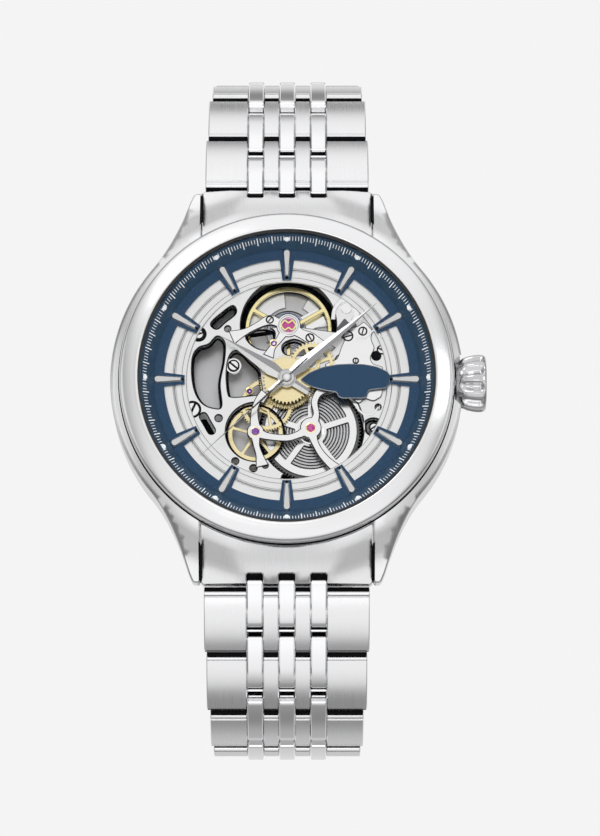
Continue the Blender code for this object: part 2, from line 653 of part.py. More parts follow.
def build_clasp(hinges):
    z_end, d_end = hinges[-1]
    span = 2 * z_end
    near, far = 1.45, span - 2.0
    fold_one = (span - 2.7, -0.1)
    fold_two = (5.4, 0.2)
    width = HALF_WIDTH[-1] + 0.3

    frame = clasp_frame(-z_end, d_end)
    lugs = [flat_mesh([arc((0, 0), 0.85, 90, 270, 6) + [(2.2, -0.85), (2.2, 0.85)]],
                      at - 0.8, at + 0.8)
            for at in (-2 * COLUMN, 0, 2 * COLUMN)]
    walls = [flat_mesh([rectangle(near, -1.28, far, 1.0, 0.3)], low, high)
             for low, high in ((-width, 0.6 - width), (width - 0.6, width))]
    skin = flat_mesh([rectangle(near + 0.1, -1.3, far - 0.1, -0.62)], 0.2 - width, width - 0.2)
    pins = [cross_pin((0, 0), HALF_WIDTH[-1] - 0.5),
            rod_mesh(0.28, -width + 0.2, width - 0.2, 8, Matrix.Translation((*fold_one, 0)))]
    slot = rectangle(span / 2 - 2.6, -0.4, span / 2 + 2.6, 0.6)
    cuts = [flat_mesh([slot], low, high) for low, high in ((-width - 1, 1 - width),
                                                           (width - 1, width + 1))]
    cover = solid("clasp_cover", BRUSHED, [skin, merged(walls), merged(lugs), merged(pins)],
                  [merged(cuts)], matrix=frame)

    for name, way in (("clasp_button_right", 1), ("clasp_button_left", -1)):
        shape = rectangle(span / 2 - 2.5, -0.32, span / 2 + 2.5, 0.52, 0.2)
        low, high = sorted((way * (width - 0.75), way * (width + 0.7)))
        solid(name, POLISHED, [flat_mesh([shape], low, high)], matrix=cover.matrix_world)

    length = fold_one[0] - fold_two[0]
    middle = clasp_frame(-z_end + fold_one[0], d_end + fold_one[1])
    plate = rectangle(1.0 - length, -0.3, -0.2, 0.24)
    knuckle = circle((0, 0), 0.45, 10)
    end_knuckles = [flat_mesh([[(-length, 0.8), (-length - 0.5, 0.5), (-length - 0.5, -0.2),
                                (-length, -0.28), (1.5 - length, -0.26), (1.5 - length, 0.2),
                                (0.5 - length, 0.75)]], low, high)
                    for low, high in ((-6.3, -3.2), (3.2, 6.3))]
    fold_pin = rod_mesh(0.25, -6.2, 6.2, 8, Matrix.Translation((-length, 0.3, 0)))
    solid("clasp_middle_blade", BRUSHED, [
        flat_mesh([plate], -6.4, 6.4), flat_mesh([knuckle], -7.2, 7.2), merged(end_knuckles),
        fold_pin], [rod_mesh(0.36, -9, 9, 8)], matrix=middle)

    inner = clasp_frame(-z_end + fold_two[0], d_end + fold_two[1])
    reach = fold_one[0] - fold_two[0] - 0.7
    blade = rectangle(0.9, 0.25, reach, 0.75)
    tongue = arc((0, 0), 0.55, 90, 270, 6) + [(1.4, 0.3), (1.4, 0.7)]
    solid("clasp_inner_blade", BRUSHED, [flat_mesh([blade], -5.0, 5.0),
                                         flat_mesh([tongue], -3.0, 3.0)],
          [rod_mesh(0.33, -9, 9, 8)], matrix=inner)


def build_bracelet():
    hinges = chain()
    for side in (1, -1):
        build_end_link(side, hinges[0])
        for number in range(1, len(LEAN)):
            build_link(side, number, hinges)
    build_clasp(hinges)


build_case()
build_closures()
build_dial()
build_hands()
build_train()
build_motion_work()
build_regulator()
build_plates()
build_crown()
build_bracelet()
for part in PARTS.objects:
    if part.data.polygons:
        part.data.shade_smooth()
        part.data.set_sharp_from_angle(angle=math.radians(35))
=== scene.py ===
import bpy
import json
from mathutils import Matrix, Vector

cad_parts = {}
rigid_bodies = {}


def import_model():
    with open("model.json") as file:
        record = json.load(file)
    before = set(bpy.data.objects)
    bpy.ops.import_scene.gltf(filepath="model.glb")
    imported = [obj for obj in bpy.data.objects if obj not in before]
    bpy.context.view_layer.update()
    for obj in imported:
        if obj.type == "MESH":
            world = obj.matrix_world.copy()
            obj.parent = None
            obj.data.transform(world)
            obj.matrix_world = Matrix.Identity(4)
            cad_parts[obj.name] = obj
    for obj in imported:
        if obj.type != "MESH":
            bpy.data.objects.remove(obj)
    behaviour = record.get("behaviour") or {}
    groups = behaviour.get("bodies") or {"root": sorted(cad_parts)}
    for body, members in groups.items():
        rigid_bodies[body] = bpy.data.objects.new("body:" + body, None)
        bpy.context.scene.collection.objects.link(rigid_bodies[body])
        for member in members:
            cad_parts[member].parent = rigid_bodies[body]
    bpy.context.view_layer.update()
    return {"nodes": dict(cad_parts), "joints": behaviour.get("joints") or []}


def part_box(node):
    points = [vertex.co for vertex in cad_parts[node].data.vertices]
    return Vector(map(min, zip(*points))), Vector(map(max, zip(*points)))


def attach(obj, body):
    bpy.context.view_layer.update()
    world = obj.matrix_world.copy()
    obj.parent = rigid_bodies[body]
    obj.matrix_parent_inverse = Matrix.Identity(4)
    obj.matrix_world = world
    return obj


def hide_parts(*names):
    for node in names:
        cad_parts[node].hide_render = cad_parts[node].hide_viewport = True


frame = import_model()

"""Looks of the skeleton wristwatch. Lengths below are millimetres in plan: x is +X, y is +Z (twelve
o'clock) and the height d runs towards the dial side (-Y) from the case-back crystal's face."""

import json
import math

import bmesh
import bpy
from mathutils import Matrix, Vector, geometry

MM = 0.001
PLAN = Matrix(((1, 0, 0, 0), (0, 0, -1, 0), (0, 1, 0, 0), (0, 0, 0, 1)))    # plan to world
FINE = 192                                  # facets of the large turned pieces

for other in list(bpy.data.objects):
    if other.type in ("LIGHT", "CAMERA") or other.name == "Cube":
        bpy.data.objects.remove(other, do_unlink=True)


# ---------------------------------------------------------------- places read from the frame

def place(node):
    """(x, y) centre, low d, high d and radius of a node, in plan millimetres."""
    low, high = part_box(node)
    centre = ((low.x + high.x) / 2 / MM, (low.z + high.z) / 2 / MM)
    return centre, -high.y / MM, -low.y / MM, (high.x - low.x) / 2 / MM


JOINTS = {joint["name"]: joint for joint in frame["joints"]}


def joint_at(name):
    x, y, z = JOINTS[name]["pos_m"]
    return (x / MM, z / MM)


CENTRE = (0.0, 0.0)
BARREL = joint_at("barrel_turn")
GREAT = joint_at("great_turn")
THIRD = joint_at("third_turn")
BALANCE = joint_at("balance_swing")
MINUTE_POST = joint_at("minute_wheel_turn")
PLATE_LOW, PLATE_TOP = place("main_plate")[1:3]
DIAL_LOW, DIAL_TOP = place("dial_ring")[1], 7.8
CASE_TOP = place("case_body")[2]
BEZEL_TOP = place("bezel")[2]
CROWN_D = (place("crown")[1] + place("crown")[2]) / 2


# ---------------------------------------------------------------- outlines

def arc(centre, radius, start, end, count):
    angles = [math.radians(start + (end - start) * k / count) for k in range(count + 1)]
    return [(centre[0] + radius * math.cos(a), centre[1] + radius * math.sin(a)) for a in angles]


def circle(centre, radius, count=64, phase=0.0):
    return arc(centre, radius, phase, phase + 360, count)[:-1]


def sector(centre, inner, outer, start, end, count=24):
    return arc(centre, outer, start, end, count) + arc(centre, inner, end, start, max(count // 2, 4))


def rectangle(x0, y0, x1, y1):
    return [(x0, y0), (x1, y0), (x1, y1), (x0, y1)]


def turned_by(points, degrees, shift=(0.0, 0.0)):
    """Clockwise in plan, then moved."""
    a = math.radians(degrees)
    return [(x * math.cos(a) + y * math.sin(a) + shift[0],
             y * math.cos(a) - x * math.sin(a) + shift[1]) for x, y in points]


def smooth_loop(points, steps=6):
    """A closed smooth curve through the points."""
    loop = []
    count = len(points)
    for k in range(count):
        a, b, c, d = (points[(k + n - 1) % count] for n in range(4))
        for s in range(steps):
            t = s / steps
            loop.append(tuple(0.5 * (2 * b[i] + (c[i] - a[i]) * t
                                     + (2 * a[i] - 5 * b[i] + 4 * c[i] - d[i]) * t * t
                                     + (3 * b[i] - a[i] - 3 * c[i] + d[i]) * t ** 3)
                              for i in (0, 1)))
    return loop


def rounded(points, radius, steps=4):
    """The polygon with each corner rounded off."""
    loop = []
    count = len(points)
    for k, corner in enumerate(points):
        here = Vector(corner)
        before = Vector(points[k - 1]) - here
        after = Vector(points[(k + 1) % count]) - here
        r = min(radius, before.length * 0.45, after.length * 0.45)
        start, end = here + before.normalized() * r, here + after.normalized() * r
        for s in range(steps + 1):
            t = s / steps
            loop.append(tuple((1 - t) ** 2 * start + 2 * t * (1 - t) * here + t * t * end))
    return loop


def slot_loop(a, b, radius, steps=8):
    """A round-ended slot from a to b."""
    turn = math.degrees(math.atan2(b[1] - a[1], b[0] - a[0]))
    return arc(b, radius, turn - 90, turn + 90, steps) + arc(a, radius, turn + 90, turn + 270, steps)


def between(points, at):
    """Reads a line through (place, value) points, level past both ends."""
    for (a0, v0), (a1, v1) in zip(points, points[1:]):
        if at <= a1:
            return v0 + (v1 - v0) * max(0.0, at - a0) / (a1 - a0)
    return points[-1][1]


def signed_area(loop):
    return sum(a[0] * b[1] - b[0] * a[1] for a, b in zip(loop, loop[1:] + loop[:1])) / 2


def inset(loop, distance):
    """The loop moved to its left by distance, with its corners kept sharp up to a limit."""
    moved = []
    count = len(loop)
    for k in range(count):
        a, b, c = Vector(loop[k - 1]), Vector(loop[k]), Vector(loop[(k + 1) % count])
        first, second = (b - a), (c - b)
        if first.length < 1e-9 or second.length < 1e-9:
            moved.append(tuple(b))
            continue
        first.normalize()
        second.normalize()
        n1, n2 = Vector((-first.y, first.x)), Vector((-second.y, second.x))
        middle = n1 + n2
        if middle.length < 1e-6:
            middle = n1
        middle.normalize()
        moved.append(tuple(b + middle * distance / max(middle.dot(n1), 0.5)))
    return moved


# ---------------------------------------------------------------- mesh building, in plan millimetres

def row_faces(rows):
    """Faces between rows of equally many points; a row may repeat one index where it meets the axis."""
    faces = []
    for low, high in zip(rows, rows[1:]):
        for k, n in zip(range(len(low)), list(range(1, len(low))) + [0]):
            face = tuple(dict.fromkeys((low[k], low[n], high[n], high[k])))
            if len(face) > 2:
                faces.append(face)
    return faces


def wall_faces(count, rings):
    """Faces round a stack of rings with count points each, with the first ring lowest."""
    return [(a * count + k, a * count + (k + 1) % count, (a + 1) * count + (k + 1) % count,
             (a + 1) * count + k) for a in range(rings - 1) for k in range(count)]

class Shape:
    """Vertices and faces gathered in plan millimetres; slots tell faces of a second material apart."""

    def __init__(self):
        self.verts, self.faces, self.slots = [], [], []

    def add(self, verts, faces, matrix=None):
        base = len(self.verts)
        moved = [matrix @ Vector(v) for v in verts] if matrix else [Vector(v) for v in verts]
        flip = matrix is not None and matrix.determinant() < 0
        self.verts += moved
        self.faces += [tuple(base + k for k in (face[::-1] if flip else face)) for face in faces]
        self.slots += [0] * len(faces)
        return self

    def lathe(self, profile, steps=FINE, centre=CENTRE, matrix=None, closed=True):
        """Turns (radius, height) points, listed anticlockwise, round the height axis."""
        rows, verts = [], []
        for radius, height in profile:
            if radius < 1e-6:
                rows.append([len(verts)] * steps)
                verts.append((centre[0], centre[1], height))
                continue
            rows.append(list(range(len(verts), len(verts) + steps)))
            verts += [(x, y, height) for x, y in circle(centre, radius, steps)]
        return self.add(verts, row_faces(rows + rows[:1] if closed else rows), matrix)

    def plate(self, loops, low, high, bevel=0.03, matrix=None, wall=0):
        """A flat outline with holes and chamfered edges; its walls and chamfers may take a slot of their
        own, which the movement's pieces fill with black as painted shade.
        """
        outlines = []
        for n, loop in enumerate(loops):
            ccw = signed_area(loop) > 0
            outlines.append(list(loop) if ccw == (n == 0) else list(loop)[::-1])
        insets = [inset(loop, bevel) for loop in outlines]
        verts, faces, starts = [], [], []
        for loop, inner in zip(outlines, insets):
            start, count = len(verts), len(loop)
            starts.append(start)
            for points, height in ((inner, low), (loop, low + bevel), (loop, high - bevel),
                                   (inner, high)):
                verts += [(x, y, height) for x, y in points]
            faces += [tuple(start + k for k in face) for face in wall_faces(count, 4)]
        walls = len(faces)
        cap = geometry.tessellate_polygon([[Vector((x, y, 0)) for x, y in loop] for loop in insets])
        index = []
        for start, loop in zip(starts, insets):
            index += [(start + k, start + 3 * len(loop) + k) for k in range(len(loop))]
        for tri in cap:
            a, b, c = (Vector(verts[index[k][0]]).to_2d() for k in tri)
            up = (b - a).cross(c - a) > 0
            ordered = tri if up else tri[::-1]
            faces.append(tuple(index[k][1] for k in ordered))
            faces.append(tuple(index[k][0] for k in ordered[::-1]))
        self.add(verts, faces, matrix)
        self.slots[-len(faces):] = [wall] * walls + [0] * (len(faces) - walls)
        return self

    def rod(self, radius, low, high, centre=CENTRE, steps=32, bevel=0.03, matrix=None):
        """A round bar or disc with chamfered ends."""
        profile = [(0, low), (radius - bevel, low), (radius, low + bevel), (radius, high - bevel),
                   (radius - bevel, high), (0, high)]
        return self.lathe(profile, steps, centre, matrix, closed=False)

    def mesh(self, name, matrix=PLAN):
        made = bpy.data.meshes.new(name)
        made.from_pydata([tuple((matrix @ v) * MM) for v in self.verts], [], self.faces)
        made.polygons.foreach_set("material_index", self.slots)
        made.update()
        made.validate()
        return made


def piece(name, body, materials, shape, replaces=(), matrix=PLAN, sharp=28):
    """A visible piece: it rides on a body and may stand for CAD nodes."""
    made = bpy.data.objects.new(name, shape.mesh(name, matrix))
    bpy.context.scene.collection.objects.link(made)
    for material in materials if isinstance(materials, (list, tuple)) else [materials]:
        made.data.materials.append(material)
    work = bmesh.new()
    work.from_mesh(made.data)
    bmesh.ops.remove_doubles(work, verts=work.verts, dist=1e-7)
    work.to_mesh(made.data)
    work.free()
    made.data.shade_smooth()
    made.data.set_sharp_from_angle(angle=math.radians(sharp))
    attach(made, body)
    for node in replaces:
        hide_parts(node)
    return made


# ---------------------------------------------------------------- materials

def new_material(name):
    made = bpy.data.materials.new(name)
    made.use_nodes = True
    tree = made.node_tree
    return made, tree, tree.nodes["Principled BSDF"]


def add_node(tree, kind, **inputs):
    made = tree.nodes.new(kind)
    for key, value in inputs.items():
        made.inputs[key.replace("_", " ")].default_value = value
    return made


def maths(tree, kind, operation, *values):
    """A Math or VectorMath node; each value is a constant or another node's output."""
    made = tree.nodes.new("ShaderNode" + kind)
    made.operation = operation
    for socket, value in zip(made.inputs, values):
        if isinstance(value, bpy.types.NodeSocket):
            tree.links.new(value, socket)
        else:
            socket.default_value = value
    return made


def scaled_coordinates(tree, scale):
    """Object coordinates in the row frame, stretched: a small factor makes long streaks."""
    where = tree.nodes.new("ShaderNodeTexCoord")
    mapping = tree.nodes.new("ShaderNodeMapping")
    mapping.inputs["Scale"].default_value = scale
    tree.links.new(where.outputs["Object"], mapping.inputs["Vector"])
    return mapping.outputs["Vector"]


def ring_coordinate(tree, centre, scale):
    """Distance from an axis along Y through the plan point, for circular brushing."""
    where = tree.nodes.new("ShaderNodeTexCoord")
    axis = (centre[0] * MM, 0, centre[1] * MM)
    shift = maths(tree, "VectorMath", "SUBTRACT", where.outputs["Object"], axis)
    across = maths(tree, "VectorMath", "MULTIPLY", shift.outputs["Vector"], (1, 0, 1))
    size = maths(tree, "VectorMath", "LENGTH", across.outputs["Vector"])
    return maths(tree, "Math", "MULTIPLY", size.outputs["Value"], scale).outputs["Value"]


def ranged(tree, value, low, high):
    """Maps a 0..1 value onto low..high."""
    made = tree.nodes.new("ShaderNodeMapRange")
    made.inputs["To Min"].default_value = low
    made.inputs["To Max"].default_value = high
    made.inputs["From Min"].default_value = 0.3
    made.inputs["From Max"].default_value = 0.7
    tree.links.new(value, made.inputs["Value"])
    return made.outputs["Result"]


def tinted(tree, value, dark, light):
    made = tree.nodes.new("ShaderNodeMix")
    made.data_type = "RGBA"
    made.inputs["A"].default_value = (*dark, 1)
    made.inputs["B"].default_value = (*light, 1)
    tree.links.new(value, made.inputs["Factor"])
    return made.outputs["Result"]


def add_bump(tree, shader, value, strength, distance):
    bump = add_node(tree, "ShaderNodeBump", Strength=strength, Distance=distance)
    tree.links.new(value, bump.inputs["Height"])
    tree.links.new(bump.outputs["Normal"], shader.inputs["Normal"])


def metal(name, colour, roughness, spread=0.06, scale=(900, 900, 900), bump=0.1, metallic=1.0,
          ring=None, coat=0.0, shade=0.12):
    """A metal whose colour, roughness and relief follow fine streaks, straight or circular."""
    made, tree, shader = new_material(name)
    shader.inputs["Metallic"].default_value = metallic
    if coat:
        shader.inputs["Coat Weight"].default_value = coat
        shader.inputs["Coat Roughness"].default_value = 0.04
    streak = add_node(tree, "ShaderNodeTexNoise", Scale=1.0, Detail=4.0, Roughness=0.6)
    if ring is None:
        tree.links.new(scaled_coordinates(tree, scale), streak.inputs["Vector"])
    else:
        streak.noise_dimensions = "1D"
        tree.links.new(ring_coordinate(tree, ring, scale[0]), streak.inputs["W"])
    cloud = add_node(tree, "ShaderNodeTexNoise", Scale=260.0, Detail=3.0)
    tree.links.new(scaled_coordinates(tree, (1, 1, 1)), cloud.inputs["Vector"])
    soft = maths(tree, "Math", "MULTIPLY", cloud.outputs["Fac"], 0.28)
    both = maths(tree, "Math", "MULTIPLY_ADD", streak.outputs["Fac"], 0.72, soft.outputs["Value"])
    dark = tuple(c * (1 - shade) for c in colour)
    tree.links.new(tinted(tree, both.outputs["Value"], dark, colour), shader.inputs["Base Color"])
    tree.links.new(ranged(tree, both.outputs["Value"], roughness - spread, roughness + spread),
                   shader.inputs["Roughness"])
    if bump:
        add_bump(tree, shader, streak.outputs["Fac"], bump, 0.00002)
    return made


STEEL = (0.86, 0.86, 0.87)
brushed = metal("brushed_steel_along_the_bracelet", STEEL, 0.30, 0.07, (9000, 260, 260), 0.22)
lug_brushed = metal("brushed_case_steel", (0.92, 0.92, 0.93), 0.24, 0.05, (7000, 400, 400), 0.10)
polished = metal("polished_steel", (0.90, 0.90, 0.91), 0.11, 0.02, (300, 300, 300), 0.0, shade=0.03)
crown_steel = metal("crown_steel", (0.60, 0.60, 0.61), 0.16, 0.02, (300, 300, 300), 0.0, shade=0.05)
bezel_steel = metal("satin_bezel", (0.84, 0.84, 0.85), 0.20, 0.03, (5200, 0, 0), 0.04,
                    ring=CENTRE, shade=0.05)
hand_steel = metal("hand_steel", (0.70, 0.70, 0.70), 0.32, 0.05, (5000, 5000, 5000), 0.05)
hand_shade = metal("hand_steel_shaded_half", (0.34, 0.34, 0.35), 0.24, 0.05, (5000, 5000, 5000), 0.05)
silver = metal("circular_brushed_silver", (0.88, 0.88, 0.88), 0.34, 0.07, (16000, 0, 0), 0.25,
               ring=CENTRE, shade=0.16)
plate_steel = metal("rhodium_plate", (0.86, 0.86, 0.865), 0.30, 0.04, (700, 700, 700), 0.0, shade=0.05)
# Brushed steel of the lower bridge; its colour is darkened as painted shade for its depth.
darkened_floor_steel = metal("brushed_bridge_steel_darkened_as_shade", (0.60, 0.60, 0.61), 0.32, 0.05, (9000, 200, 200), 0.15)
bright = metal("polished_cover", (0.93, 0.93, 0.93), 0.16, 0.03, (900, 900, 900), 0.0, shade=0.04)
# Black for the walls and chamfers of plates and bridges: painted shade where they would fall in shadow.
painted_shade_wall_steel = metal("shaded_plate_walls", (0.03, 0.03, 0.033), 0.4, 0.06, (900, 900, 900), 0.0,
                   metallic=0.3)
# Dark steel for the drum and levers; the silver ring's groove rings use it as painted shade.
dark_steel = metal("dark_steel_and_groove_shade", (0.15, 0.15, 0.155), 0.32, 0.06, (2500, 2500, 2500), 0.1)
spring_steel = metal("mainspring_steel", (0.62, 0.62, 0.63), 0.25, 0.06, (2500, 2500, 2500), 0.1)
gilt = metal("gilt_brass", (1.0, 0.87, 0.52), 0.22, 0.05, (5000, 5000, 5000), 0.05, shade=0.15)
gold_edge = metal("bright_gold", (1.0, 0.88, 0.46), 0.16, 0.03, (900, 900, 900), 0.0, shade=0.08)
blued = metal("blued_steel", (0.10, 0.16, 0.42), 0.22, 0.04, (3000, 3000, 3000), 0.0)
blue_lacquer = metal("blue_sunray_lacquer", (0.018, 0.066, 0.145), 0.36, 0.05, (5200, 5200, 5200),
                     0.05, metallic=0.6, coat=0.15, shade=0.25)
blue_flange = metal("blue_flange_lacquer", (0.036, 0.094, 0.172), 0.32, 0.05, (9000, 0, 0), 0.05,
                    metallic=0.25, ring=CENTRE, coat=0.10, shade=0.2)


def painted(name, colour, roughness, scale=1500.0, **sockets):
    """A non-metal with a little mottling."""
    made, tree, shader = new_material(name)
    noise = add_node(tree, "ShaderNodeTexNoise", Scale=scale, Detail=3.0)
    tree.links.new(scaled_coordinates(tree, (1, 1, 1)), noise.inputs["Vector"])
    dark = tuple(c * 0.85 for c in colour)
    tree.links.new(tinted(tree, noise.outputs["Fac"], dark, colour), shader.inputs["Base Color"])
    tree.links.new(ranged(tree, noise.outputs["Fac"], roughness * 0.85, roughness * 1.15),
                   shader.inputs["Roughness"])
    for key, value in sockets.items():
        shader.inputs[key.replace("_", " ")].default_value = value
    return made


# White print; its emission is a painted glow that makes the marks brighter than the lamps light them.
white_print_with_painted_glow = painted("white_print_with_painted_glow", (0.97, 0.97, 0.97), 0.5, Emission_Color=(0.9, 0.95, 1, 1),
                      Emission_Strength=0.3)
rubber = painted("black_seal", (0.012, 0.012, 0.013), 0.45)
# Black that paints the shade in recesses, gaps and seams; the baton pins use it too.
shade_and_pin_black = painted("black_painted_shade_and_pins", (0.004, 0.004, 0.005), 0.7, Specular_IOR_Level=0.08)
ruby = painted("ruby", (0.62, 0.02, 0.32), 0.08, Coat_Weight=0.6, Specular_IOR_Level=0.9)
purple_ruby = painted("purple_ruby", (0.22, 0.03, 0.42), 0.08, Coat_Weight=0.6,
                      Specular_IOR_Level=0.9)


def sapphire():
    """Clear crystal: it lets the light through and keeps a faint gloss towards its edge."""
    made, tree, shader = new_material("sapphire_crystal")
    shader.inputs["Base Color"].default_value = (0.01, 0.02, 0.03, 1)
    shader.inputs["IOR"].default_value = 1.5
    edge = add_node(tree, "ShaderNodeLayerWeight", Blend=0.2)
    tree.links.new(ranged(tree, edge.outputs["Facing"], 0.012, 0.12), shader.inputs["Alpha"])
    haze = add_node(tree, "ShaderNodeTexNoise", Scale=120.0, Detail=2.0)
    tree.links.new(scaled_coordinates(tree, (1, 1, 1)), haze.inputs["Vector"])
    tree.links.new(ranged(tree, haze.outputs["Fac"], 0.015, 0.03), shader.inputs["Roughness"])
    return made


glass = sapphire()


# ---------------------------------------------------------------- case

def case_height(radius):
    """Height of the case's upper surface at a radius: flank, then the lugs' slope."""
    return between(((17.0, CASE_TOP), (19.95, CASE_TOP), (21.0, 7.4), (22.5, 6.0), (24.0, 4.6),
                    (25.2, 3.9), (26.4, 3.2)), radius)


def case_depth(radius):
    """Height of the case's underside at a radius."""
    return between(((16.0, 1.3), (17.5, 1.3), (20.5, 0.9), (24.0, 0.4), (25.6, 0.6), (26.4, 1.2)), radius)


LUG_HALF = -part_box("end_link_upper")[0].x / MM + 0.1
LUG_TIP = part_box("case_body")[1].z / MM


def case_outline():
    quarter = arc(CENTRE, 21.0, 0, 39.5, 26)
    start, control, end = Vector((16.2, 13.36)), Vector((13.55, 16.5)), Vector((11.65, 22.6))
    quarter += [tuple((1 - t) ** 2 * start + 2 * t * (1 - t) * control + t * t * end)
                for t in (k / 22 for k in range(1, 23))]
    tip = rounded([(11.65, 22.6), (11.15, LUG_TIP), (LUG_HALF, LUG_TIP), (LUG_HALF, 22.0)], 0.7, 5)
    quarter += tip[6:-6]
    corner = math.degrees(math.acos(LUG_HALF / 19.7))
    low_y = 19.7 * math.sin(math.radians(corner))
    quarter += [(LUG_HALF, 22.6 + (low_y - 22.6) * k / 8) for k in range(8)]
    quarter += arc(CENTRE, 19.7, corner, 90, 16)
    right = [(x, -y) for x, y in quarter[::-1]] + quarter[1:]
    return right + [(-x, y) for x, y in right[::-1][1:-1]]


def skin(shape, outline, hole, height, up, matrix):
    """A curved sheet between an outline and a hole, its height read from a function of (x, y)."""
    step = 0.55
    reach = max(math.hypot(x, y) for x, y in outline)
    points = [Vector(p) for p in outline] + [Vector(p) for p in hole]
    ring = lambda first, count: [(first + k, first + (k + 1) % count) for k in range(count)]
    edges = ring(0, len(outline)) + (ring(len(outline), len(hole)) if hole else [])
    inner = max((math.hypot(x, y) for x, y in hole), default=0.0)
    radius = inner + step
    while radius < reach:
        count = int(2 * math.pi * radius / step / 1.6)
        for x, y in circle(CENTRE, radius, count, radius * 40):
            if inside(outline, x, y, 0.25):
                points.append(Vector((x, y)))
        radius += step
    verts, _, faces, _, _, _ = geometry.delaunay_2d_cdt(points, edges, [], 1, 1e-5)
    kept = []
    for face in faces:
        cx = sum(verts[k].x for k in face) / len(face)
        cy = sum(verts[k].y for k in face) / len(face)
        if inside(outline, cx, cy, 0) and not (hole and inside(hole, cx, cy, 0)):
            a, b, c = (verts[k] for k in face[:3])
            ccw = (b - a).cross(c - a) > 0
            kept.append(tuple(face) if ccw == up else tuple(face)[::-1])
    shape.add([(v.x, v.y, height(v.x, v.y)) for v in verts], kept, matrix)


def inside(loop, x, y, margin):
    """True when the point lies in the loop and further than margin from its edge."""
    odd = False
    for (x0, y0), (x1, y1) in zip(loop, loop[1:] + loop[:1]):
        if (y0 > y) != (y1 > y) and x < (x1 - x0) * (y - y0) / (y1 - y0) + x0:
            odd = not odd
        if margin:
            dx, dy = x1 - x0, y1 - y0
            t = max(0.0, min(1.0, ((x - x0) * dx + (y - y0) * dy) / max(dx * dx + dy * dy, 1e-12)))
            if (x0 + t * dx - x) ** 2 + (y0 + t * dy - y) ** 2 < margin * margin:
                return False
    return odd


def solid_between(shape, outline, hole, top, bottom, edge, matrix=None):
    """A body with curved top and bottom sheets, a chamfer round its outline and a bored hole."""
    inner = inset(outline if signed_area(outline) > 0 else outline[::-1], edge)
    outline = outline if signed_area(outline) > 0 else outline[::-1]
    rings = [[(x, y, top(x, y)) for x, y in inner],
             [(x, y, top(x, y) - edge) for x, y in outline],
             [(x, y, bottom(x, y) + edge) for x, y in outline],
             [(x, y, bottom(x, y)) for x, y in inner]]
    count = len(outline)
    verts = [v for ring in rings for v in ring]
    shape.add(verts, [(a, d, c, b) for a, b, c, d in wall_faces(count, 4)], matrix)
    skin(shape, inner, hole, top, True, matrix)
    skin(shape, inner, hole, bottom, False, matrix)
    if hole:
        size = len(hole)
        walls = [(x, y, top(x, y)) for x, y in hole] + [(x, y, bottom(x, y)) for x, y in hole]
        shape.add(walls, [(k, size + k, size + (k + 1) % size, (k + 1) % size)[::-1]
                          for k in range(size)], matrix)


def cut_with(target, cutter_shape, matrix=PLAN):
    """Takes a shape out of a finished piece."""
    cutter = bpy.data.objects.new("cutter", cutter_shape.mesh("cutter", matrix))
    bpy.context.scene.collection.objects.link(cutter)
    modifier = target.modifiers.new("cut", "BOOLEAN")
    modifier.operation = "DIFFERENCE"
    modifier.object = cutter
    bpy.context.view_layer.update()
    graph = bpy.context.evaluated_depsgraph_get()
    mesh = bpy.data.meshes.new_from_object(target.evaluated_get(graph))
    target.modifiers.clear()
    target.data = mesh
    bpy.data.objects.remove(cutter, do_unlink=True)
    return target


def along_x(centre_d):
    """Matrix for shapes whose height axis runs along +X at plan y 0 and this d."""
    return Matrix.Translation((0, 0, centre_d)) @ Matrix.Rotation(math.radians(90), 4, "Y")


def build_case():
    shape = Shape()
    solid_between(shape, case_outline(), circle(CENTRE, 17.7, FINE),
                  lambda x, y: case_height(math.hypot(x, y)),
                  lambda x, y: case_depth(math.hypot(x, y)), 0.16)
    case = piece("case_middle", "case", lug_brushed, shape, ["case_body"], sharp=24)
    notch = Shape().rod(3.7, 19.95, 24.0, steps=96, bevel=0.0, matrix=along_x(CROWN_D))
    cut_with(case, notch)

    inner, rim = 17.62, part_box("bezel")[1].x / MM
    top = BEZEL_TOP
    bezel = [(inner, 8.3), (rim, 8.25), (rim, 8.5), (rim, 9.3), (rim - 0.05, 9.6), (rim - 0.16, 9.86),
             (rim - 0.34, 10.05), (rim - 0.6, 10.2), (rim - 1.1, 10.42), (rim - 1.6, 10.62),
             (rim - 1.95, 10.74), (inner + 0.24, top - 0.02), (inner + 0.12, top - 0.03),
             (inner + 0.03, top - 0.10), (inner, top - 0.22)]
    piece("bezel_ring", "case", bezel_steel, Shape().lathe(bezel), ["bezel"], sharp=40)
    # A black ring in the seat under the bezel: painted shade of the joint.
    seat = Shape().lathe(rectangle(19.4, 8.17, rim + 0.13, 8.23))
    piece("bezel_seat_shade_line", "case", shade_and_pin_black, seat)
    seal = Shape().lathe(rectangle(17.36, 9.75, 17.61, 10.55))
    piece("crystal_seal", "case", rubber, seal, ["crystal_gasket"])
    radius = place("crystal")[3]
    dome = [(0, 9.75), (radius, 9.75), (radius, 10.6), (radius - 0.25, 10.8)]
    dome += [(r, 11.18 - (r / 17.0) ** 2 * 0.38) for r in (14.5, 12, 9.5, 7, 4.5, 2)] + [(0, 11.19)]
    piece("front_crystal", "case", glass, Shape().lathe(dome, closed=False), ["crystal"])


# ---------------------------------------------------------------- dial

FLANGE = ((15.75, DIAL_TOP + 0.06), (17.3, 9.62))     # inner low edge and outer high edge
TRACK_STEPS = 300                                     # five steps to a minute
MINUTE_MARK = (16.42, 17.14, 0.055)                   # inner and outer radius, half width
FIFTH_MARK = (16.66, 17.08, 0.036)
DOT_RADIUS = 16.85


def flange_height(radius):
    (r0, h0), (r1, h1) = FLANGE
    return h0 + (h1 - h0) * (radius - r0) / (r1 - r0)


